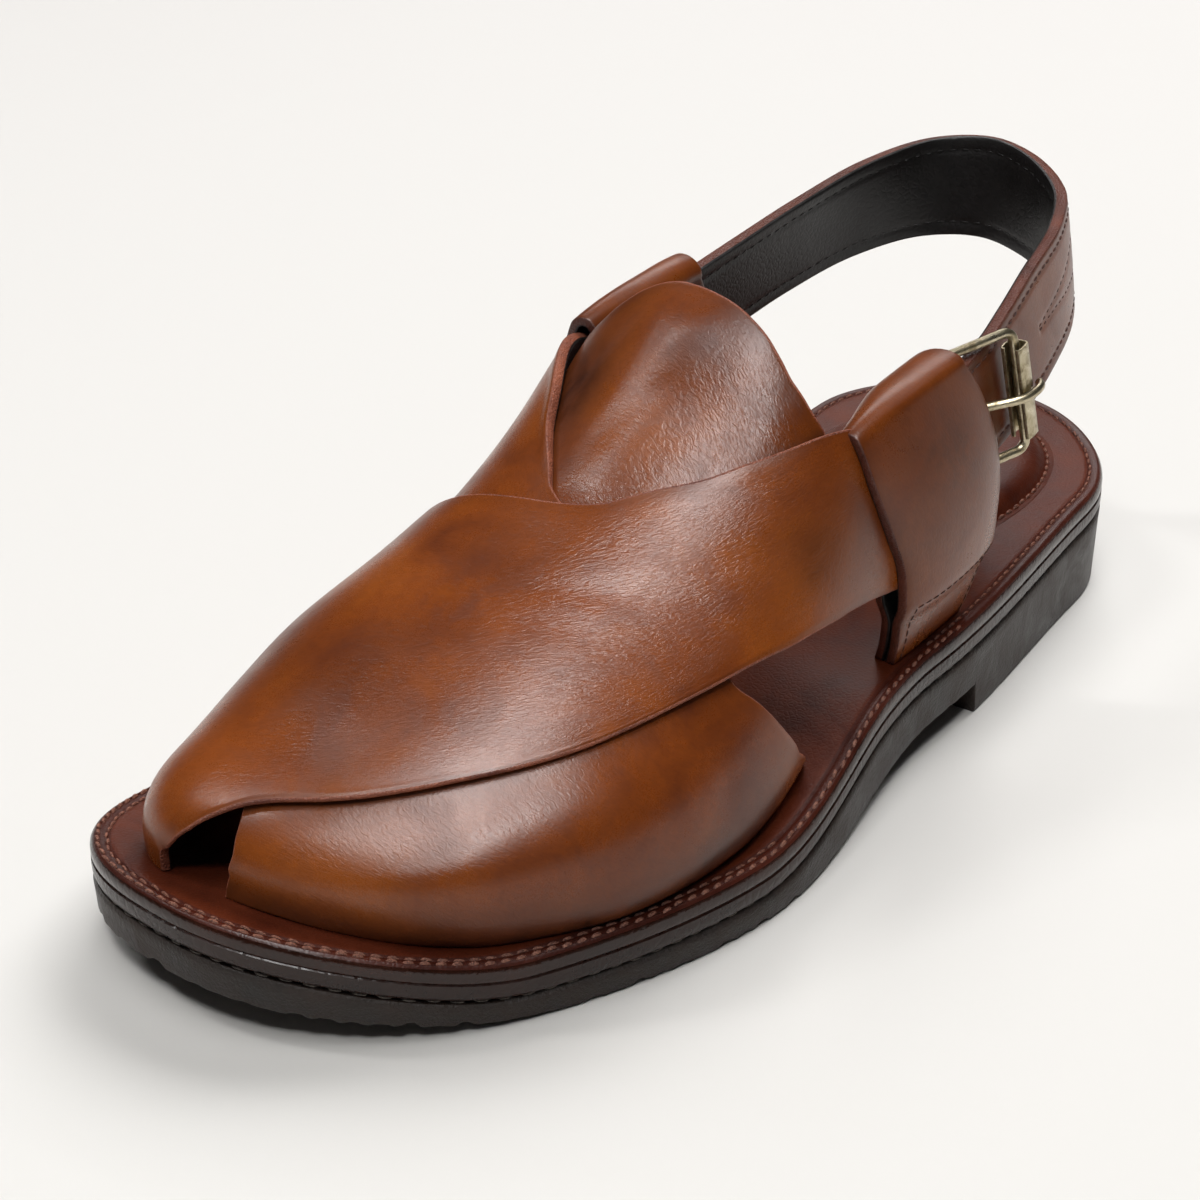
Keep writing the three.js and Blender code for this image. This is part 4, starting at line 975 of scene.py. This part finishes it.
# Quarters: one folded sleeve each, outer wall, fold, inner wall
def build_quarter(name, side, sleeve, burnish_and_shade_rows):
    def loop_at(u, wall):
        top = lerp(sleeve["top_rear"], sleeve["top_front"], u)
        x_at = lambda a: sleeve_x(sleeve, a, u)
        gap_in = lerp(sleeve["inner_rear"], sleeve["inner_front"], smooth(u, 0.4, 1))
        out_at = lambda a: outer_wall(sleeve, a, u, wall)
        in_at = lambda a: lerp(gap_in, sleeve["foot"] - FOOT_CLOSE, shut_at(sleeve, a)) - wall
        down = np.linspace(FEATHER, top, SLEEVE_STEPS)
        walls = turned_in(sleeve, side, down, off_last(x_at(down), side * down, out_at(down)))
        n = last_normal(x_at(top), side * top)
        heart = last_point(x_at(top), side * top)
        back = unit(last_point(x_at(top), side * (top - 1)) - heart)
        heart = heart + n * (out_at(top) + in_at(top)) / 2
        radius = (out_at(top) - in_at(top)) / 2
        turn = np.pi * np.arange(1, SLEEVE_BENDS) / SLEEVE_BENDS
        high = min(radius, FOLD_HIGH)
        fold = heart + n * radius * np.cos(turn)[:, None] + back * high * np.sin(turn)[:, None]
        up = down[::-1]
        inside = turned_in(sleeve, side, up, off_last(x_at(up), side * up, in_at(up)))
        return np.concatenate([walls, fold, inside])

    share = np.linspace(0, 1, SLEEVE_COLUMNS)
    outer = np.stack([loop_at(u, LEATHER) for u in share])
    inner = np.stack([loop_at(u, 0.0) for u in share])
    u = grid_lengths(outer)[0]
    ends = np.minimum(u - u[:1], u[-1:] - u)
    burnish_and_shade = 0.2 + spots(outer, burnish_and_shade_rows) + EDGE_BURN * bell(ends, 3)
    leather_piece(name + "_look", outer, inner, SLEEVE_BULGE, DARK_EDGE, name, burnish_and_shade, 0.25, grain=(1, 0))
    span = np.linspace(*ROW_SHARES)
    leg = np.linspace(FEATHER - 2, ROW_ANGLE, LEG_STEPS)
    share = np.concatenate([np.full(len(leg), span[0]), span, np.full(len(leg), span[-1])])
    angle = np.concatenate([leg, np.full(len(span), ROW_ANGLE), leg[::-1]])
    x = sleeve_x(sleeve, angle, share)
    row = off_last(x, side * angle, outer_wall(sleeve, angle, share, LEATHER))
    row = turned_in(sleeve, side, angle, row)
    out = last_normal(x, side * angle)
    stitches(name + "_stitches", row, out, DARK_THREAD, "upper_leather", *SLEEVE_STITCH)


# Strap curves through the rows, with the spacing that keeps them even
def centripetal(points, share):
    n = len(points)
    t = share * (n - 1)
    i = np.minimum(t.astype(int), n - 2)
    w = t - i
    first = np.vstack([2 * points[0] - points[1], points, 2 * points[-1] - points[-2]])
    p0, p1, p2, p3 = first[i], first[i + 1], first[i + 2], first[i + 3]
    gap = lambda a, b: np.maximum(length_of(b - a)[:, None] ** 0.5, 1e-4)
    d0, d1, d2 = gap(p0, p1), gap(p1, p2), gap(p2, p3)
    m1 = ((p1 - p0) / d0 - (p2 - p0) / (d0 + d1) + (p2 - p1) / d1) * d1
    m2 = ((p2 - p1) / d1 - (p3 - p1) / (d1 + d2) + (p3 - p2) / d2) * d1
    w = w[:, None]
    start = (2 * w**3 - 3 * w**2 + 1) * p1 + (w**3 - 2 * w**2 + w) * m1
    return start + (3 * w**2 - 2 * w**3) * p2 + (w**3 - w**2) * m2


STRAP_STEP = 0.002


# Upper edge, lower edge and the axes across, along and out of the strap
def strap_axes(share):
    share = np.atleast_1d(np.asarray(share, float))
    edges = lambda at: (centripetal(STRAP[:, :3], at), centripetal(STRAP[:, 3:], at))
    top, low = edges(share)
    ahead = sum(edges(np.clip(share + STRAP_STEP, 0, 1)))
    behind = sum(edges(np.clip(share - STRAP_STEP, 0, 1)))
    along = unit(ahead - behind)
    across = unit(top - low)
    return top, low, across, along, unit(np.cross(across, along))


# Stitch rows of the strap: place across it at the medial end, at the lateral end, and where it ends
V_FROM, V_TIP, ROW_FROM, ROW_TO = 0.56, 0.765, 0.03, 0.985
STRAP_ROWS = ((0.085, 0.085, ROW_TO), (0.285, 0.47, V_TIP), (0.70, 0.51, V_TIP), (0.915, 0.915, ROW_TO))
LINING_ROWS, EYELETS = (0.12, 0.88), (0.905, 0.868, 0.831)
STRAP_LENGTHS, STRAP_WIDTHS, STRAP_ROW_STEPS = 300, 41, 400
SEAM_DENT, LINING_DENT, SEAM_WIDE, BELLY, OUTER_SINK, INNER_SINK = 0.22, 0.2, 0.7, 0.25, 0.12, 0.25


# Place of a stitch row across the strap
def strap_row(share, first, last):
    return lerp(first, last, smooth(share, V_FROM, V_TIP))[:, None]


# Path and normals along the strap, sunk a little into its outer or inner face
def strap_path(run, place, side, sink):
    top, low, _, _, out = strap_axes(run)
    return lerp(low, top, place) + side * out * (STRAP_THICK / 2 - sink), side * out


# Heel strap: slightly full outside, dented along its seams, with eyelets inside
def build_strap():
    share = np.linspace(0, 1, STRAP_LENGTHS)
    top, low, _, _, out = strap_axes(share)
    v = np.linspace(0, 1, STRAP_WIDTHS)
    middle = low[:, None] + (top - low)[:, None] * v[None, :, None]
    wide = length_of(top - low)[:, None]
    dent = np.zeros((STRAP_LENGTHS, STRAP_WIDTHS))
    for first, last, end in STRAP_ROWS:
        centre = strap_row(share, first, last)
        dent -= SEAM_DENT * bell((v[None] - centre) * wide, SEAM_WIDE) * (share <= end)[:, None]
    belly = BELLY * (1 - (2 * v[None] - 1) ** 2)
    outer = middle + out[:, None] * (STRAP_THICK / 2 + dent + belly)[..., None]
    seam = -LINING_DENT * sum(bell((v[None] - place) * wide, SEAM_WIDE) for place in LINING_ROWS)
    inner = middle - out[:, None] * (STRAP_THICK / 2 + seam)[..., None]
    edge = grid_lengths(outer)[2]
    burnish_and_shade = 0.3 + EDGE_BURN * bell(edge, 2.0) + 0.2 * smooth(share, 0.6, 0.9)[:, None]
    leather_piece("heel_strap_look", outer, inner, STRAP_BULGE, DARK_EDGE, "heel_strap", burnish_and_shade, 0.2)
    for k, (first, last, end) in enumerate(STRAP_ROWS):
        run = np.linspace(ROW_FROM, end, STRAP_ROW_STEPS)
        path = strap_path(run, strap_row(run, first, last), 1, OUTER_SINK)
        stitches(f"strap_stitches_{k}", *path, DARK_THREAD, "upper_leather", *STRAP_STITCH)
    run = np.linspace(ROW_FROM, ROW_TO, STRAP_ROW_STEPS)
    for k, place in enumerate(LINING_ROWS):
        path = strap_path(run, place, -1, INNER_SINK)
        stitches(f"lining_stitches_{k}", *path, LINING, "upper_leather", *LINING_STITCH)
    for k, place in enumerate(EYELETS):
        eyelet(f"strap_eyelet_{k}", place)


# Eyelet on the strap's lining: a turned ring with radius and height along its profile
EYELET_SIDES = 28
EYELET = np.array([
    (1.3, 1.0), (1.3, -0.3), (1.5, -0.62), (1.9, -0.75), (2.3, -0.6), (2.5, -0.15), (2.4, 0.3), (1.7, 1.0),
])


def eyelet(name, share):
    top, low, _, along, out = strap_axes(share)
    path = (top + low) / 2 - out * STRAP_THICK / 2 + out * EYELET[:, 1:]
    points = rings_round(path, along, np.cross(out, along), EYELET[:, 0], EYELET_SIDES)
    faces = ring_faces(len(EYELET), EYELET_SIDES, closed=True)
    make(name, points, faces, [METAL], "buckle_metal")


# Axes of the strap at the buckle
b_top, b_low, b_across, b_along, b_out = [a[0] for a in strap_axes(BUCKLE_SHARE)]
B_HEART = (b_top + b_low) / 2
B_FLAT = unit(b_along - b_across * np.dot(b_along, b_across))


# Point from its places rearward, up and outward in the buckle's axes
def at_buckle(rearward, up, out):
    return B_HEART - B_FLAT * rearward + b_across * up + b_out * out


# Round wire along points
WIRE_SIDES = 20


def wire(name, points, radius, closed, node, taper=1.0):
    points = np.asarray(points)
    if closed:
        along = unit(np.roll(points, -1, 0) - np.roll(points, 1, 0))
    else:
        along = unit(np.gradient(points, axis=0))
    one = unit(b_out - along * (along @ b_out)[:, None])
    width = radius * np.broadcast_to(taper, len(points))
    rings = rings_round(points, one, np.cross(along, one), width, WIRE_SIDES)
    faces = ring_faces(len(points), WIRE_SIDES, closed)[:, ::-1]
    make(name, rings, faces, [METAL], "buckle_metal", [node])


# Bars of the frame, outwards from the strap's middle
FRONT_OUT = -(STRAP_THICK / 2 + GAP + WIRE + METAL_GAP)
REAR_OUT = STRAP_THICK / 2 + GAP + ROLLER_OUT + METAL_GAP
CORNER_STEPS, WIRE_STEP = 8, 1.2
# Frame corners: rearward, up, the way to the corner's centre, first angle
FRAME_CORNERS = (
    (FRAME_FRONT, -FRAME_HALF, 1, 1, 180), (FRAME_REAR, -FRAME_HALF, -1, 1, 270),
    (FRAME_REAR, FRAME_HALF, -1, -1, 0), (FRAME_FRONT, FRAME_HALF, 1, -1, 90),
)


def build_frame():
    points = []
    for rear, up, to_rear, to_up, start in FRAME_CORNERS:
        for k in range(CORNER_STEPS + 1):
            turn = math.radians(start + 90 * k / CORNER_STEPS)
            r = rear + to_rear * FRAME_CORNER + FRAME_CORNER * math.cos(turn)
            u = up + to_up * FRAME_CORNER + FRAME_CORNER * math.sin(turn)
            share = (r - FRAME_FRONT) / (FRAME_REAR - FRAME_FRONT)
            points.append(at_buckle(r, u, lerp(FRONT_OUT, REAR_OUT, share)))
    dense = []
    for a, b in zip(points, points[1:] + points[:1]):
        parts = max(int(length_of(b - a) / WIRE_STEP), 1)
        dense += [lerp(a, b, k / parts) for k in range(parts)]
    wire("buckle_frame_look", dense, WIRE, True, "buckle_frame")


# Roller: bent sheet with a flat outer face and an open slit in front, rearward and outward from the rear bar
ROLLER_BEND = np.array([
    (-2.3, -1.2), (-2.2, -2.0), (-1.2, -2.6), (0.6, -2.7), (2.0, -2.3), (2.7, -1.2), (2.8, 0.6),
    (2.5, 1.9), (1.6, 2.6), (0.0, 2.8), (-1.8, 2.8), (-2.6, 2.5), (-2.75, 1.8),
])
ROLLER_RIM, ROLLER_RUNS, ROLLER_BULGE = 0.4, 20, 0.12


def build_roller():
    along = unit(np.gradient(ROLLER_BEND, axis=0))
    inward = np.column_stack([-along[:, 1], along[:, 0]])
    inset = ROLLER_HALF - ROLLER_RIM
    ups = np.concatenate([[-ROLLER_HALF], np.linspace(-inset, inset, ROLLER_RUNS), [ROLLER_HALF]])
    bent = lambda up, bend: [at_buckle(FRAME_REAR + r, up, REAR_OUT + o) for r, o in bend]
    outer = np.stack([bent(up, ROLLER_BEND) for up in ups])
    inner = np.stack([bent(up, ROLLER_BEND + inward * ROLLER_SHEET) for up in ups])
    points, faces, _, _ = sheet(outer, inner, ROLLER_BULGE)
    make("buckle_roller_look", points, faces, [METAL], "buckle_metal", ["buckle_roller"])


# Prong: hooked round the front bar, bent through the strap, lying over the roller
PRONG_OUT = REAR_OUT + ROLLER_OUT + PRONG + 0.1
# Hook: reach from the bar's middle, first angle, angle and sideways shift from step to step
HOOK_REACH, HOOK_FROM, HOOK_TURN, HOOK_SHIFT = WIRE + PRONG + 0.15, 60, 300 / 9, 0.06
HOOK_STEPS, HOOK_MIDDLE = (2, 10), 5
PRONG_RUN = (
    (FRAME_FRONT + 4.0, 0.0, FRONT_OUT + 3.1), (FRAME_FRONT + 7.5, 0.0, FRONT_OUT + 5.8),
    (FRAME_REAR - 4, 0.0, PRONG_OUT - 0.9), (FRAME_REAR - 1, 0.0, PRONG_OUT),
    (FRAME_REAR + 1.8, 0.0, PRONG_OUT), (FRAME_REAR + 3.6, 0.0, PRONG_OUT - 0.7),
    (FRAME_REAR + 4.6, 0.0, PRONG_OUT - 1.8),
)
PRONG_STEPS, PRONG_TAIL, PRONG_TIP = 90, (0.2, 0.8), (0.95, 0.75, 0.15)


def build_prong():
    knots = []
    for k in range(*HOOK_STEPS):
        turn = math.radians(HOOK_FROM + HOOK_TURN * k)
        rear = FRAME_FRONT + HOOK_REACH * math.cos(turn)
        knots.append((rear, HOOK_SHIFT * (k - HOOK_MIDDLE), FRONT_OUT + HOOK_REACH * math.sin(turn)))
    knots = np.array([at_buckle(*knot) for knot in knots + list(PRONG_RUN)])
    path = centripetal(knots, np.linspace(0, 1, PRONG_STEPS))
    taper = np.ones(PRONG_STEPS)
    taper[:len(PRONG_TAIL)] = PRONG_TAIL
    taper[-len(PRONG_TIP):] = PRONG_TIP
    wire("buckle_prong_look", path, PRONG, False, "buckle_prong", taper)


build_outsole()
build_midsole()
build_insole()
build_pad()
build_wing_over()
build_wing_under()
build_tongue()
build_quarter("lateral_quarter", 1, LATERAL_SLEEVE, LATERAL_SPOTS)
build_quarter("medial_quarter", -1, MEDIAL_SLEEVE, MEDIAL_SPOTS)
build_strap()
build_frame()
build_roller()
build_prong()


# Floor in metres: its tones near and far, and the direction and distances of their change
FLOOR_NEAR, FLOOR_FAR, FLOOR_ROUGH = tone("dad8d4"), tone("ccc9c6"), 0.85
FLOOR_AWAY, FLOOR_FADE = (-0.767, -0.641, 0), (-0.35, 0.9)
FLOOR_HALF, FLOOR_LINES, FLOOR_DROP = 3.0, 7, 0.00005


def build_floor():
    n = Nodes("floor_look")
    depth = n.add("VectorMath", {0: n.where(), 1: FLOOR_AWAY}, operation="DOT_PRODUCT")
    share = n.fit(depth.outputs["Value"], *FLOOR_FADE, 0, 1)
    n.finish(n.ramp(share, (0.0, FLOOR_NEAR), (1.0, FLOOR_FAR)), FLOOR_ROUGH)
    run = np.linspace(-FLOOR_HALF, FLOOR_HALF, FLOOR_LINES)
    points = [(x, y, -FLOOR_DROP) for x in run for y in run]
    faces = grid_faces(np.arange(len(points)).reshape(FLOOR_LINES, -1).T)
    mesh = bpy.data.meshes.new("floor")
    mesh.from_pydata(points, [], faces.tolist())
    mesh.materials.append(n.material)
    floor = bpy.data.objects.new("floor", mesh)
    bpy.context.scene.collection.objects.link(floor)


# Lights: name, place, target, size, power, then which shine they leave out
LIGHT_AIM, BACK_AIM = (0.02, 0, 0.04), (0.0, 0, 0.04)
LIGHTS = (
    ("top", (0.55, 0.05, 3.2), LIGHT_AIM, (0.8, 2.0), 36, ""),
    ("top_sheen", (0.55, 0.05, 3.19), LIGHT_AIM, (0.8, 2.0), 48, "diffuse"),
    ("front", (1.35, 0.95, 3.0), LIGHT_AIM, (0.55, 0.45), 34, ""),
    ("front_sheen", (1.74, 1.19, 2.39), LIGHT_AIM, (0.55, 0.45), 20, "diffuse"),
    ("side", (1.07, -1.75, 2.8), LIGHT_AIM, (0.12, 0.9), 17, ""),
    ("back", (-1.95, -0.45, 2.4), BACK_AIM, (2.4, 1.8), 100, "gloss"),
    ("back_sheen", (-2.2, -1.6, 1.9), BACK_AIM, (1.8, 0.6), 18, "diffuse"),
)


# Light or camera at a place, looking along a direction
def stand(name, data, place, look):
    thing = bpy.data.objects.new(name, data)
    thing.location = place
    thing.rotation_euler = Vector(look).to_track_quat("-Z", "Y").to_euler()
    bpy.context.scene.collection.objects.link(thing)
    return thing


def area_light(name, place, target, size, power, without):
    data = bpy.data.lights.new(name, "AREA")
    data.shape = "RECTANGLE"
    data.size, data.size_y = size
    data.energy = power
    thing = stand(name, data, place, Vector(target) - Vector(place))
    thing.visible_diffuse = without != "diffuse"
    thing.visible_glossy = without != "gloss"


# Camera: place in metres, direction, lens and sensor in millimetres
CAMERA_AT = (0.3535, 0.2669, 0.2804)
CAMERA_LOOK = (-0.66819, -0.55893, -0.49103)
CAMERA_LENS, CAMERA_SENSOR, CAMERA_NEAR = 68.415, 36.0, 0.01


def build_camera():
    data = bpy.data.cameras.new("camera")
    data.lens = CAMERA_LENS
    data.sensor_width = CAMERA_SENSOR
    data.clip_start = CAMERA_NEAR
    bpy.context.scene.camera = stand("camera", data, CAMERA_AT, CAMERA_LOOK)


# Grey of the surroundings by height: at the horizon and further up
SKY = ((0.0, 0.24), (0.25, 0.02))


def build_light():
    world = bpy.data.worlds.new("studio")
    bpy.context.scene.world = world
    world.use_nodes = True
    tree = world.node_tree
    coords = tree.nodes.new("ShaderNodeTexCoord")
    parts = tree.nodes.new("ShaderNodeSeparateXYZ")
    ramp = tree.nodes.new("ShaderNodeValToRGB")
    tree.links.new(coords.outputs["Generated"], parts.inputs["Vector"])
    tree.links.new(parts.outputs["Z"], ramp.inputs["Fac"])
    tree.links.new(ramp.outputs["Color"], tree.nodes["Background"].inputs["Color"])
    for element, (place, grey) in zip(ramp.color_ramp.elements, SKY):
        element.position = place
        element.color = (grey, grey, grey, 1)
    for row in LIGHTS:
        area_light(*row)
    bpy.context.scene.view_settings.view_transform = "Standard"


build_floor()
build_light()
build_camera()
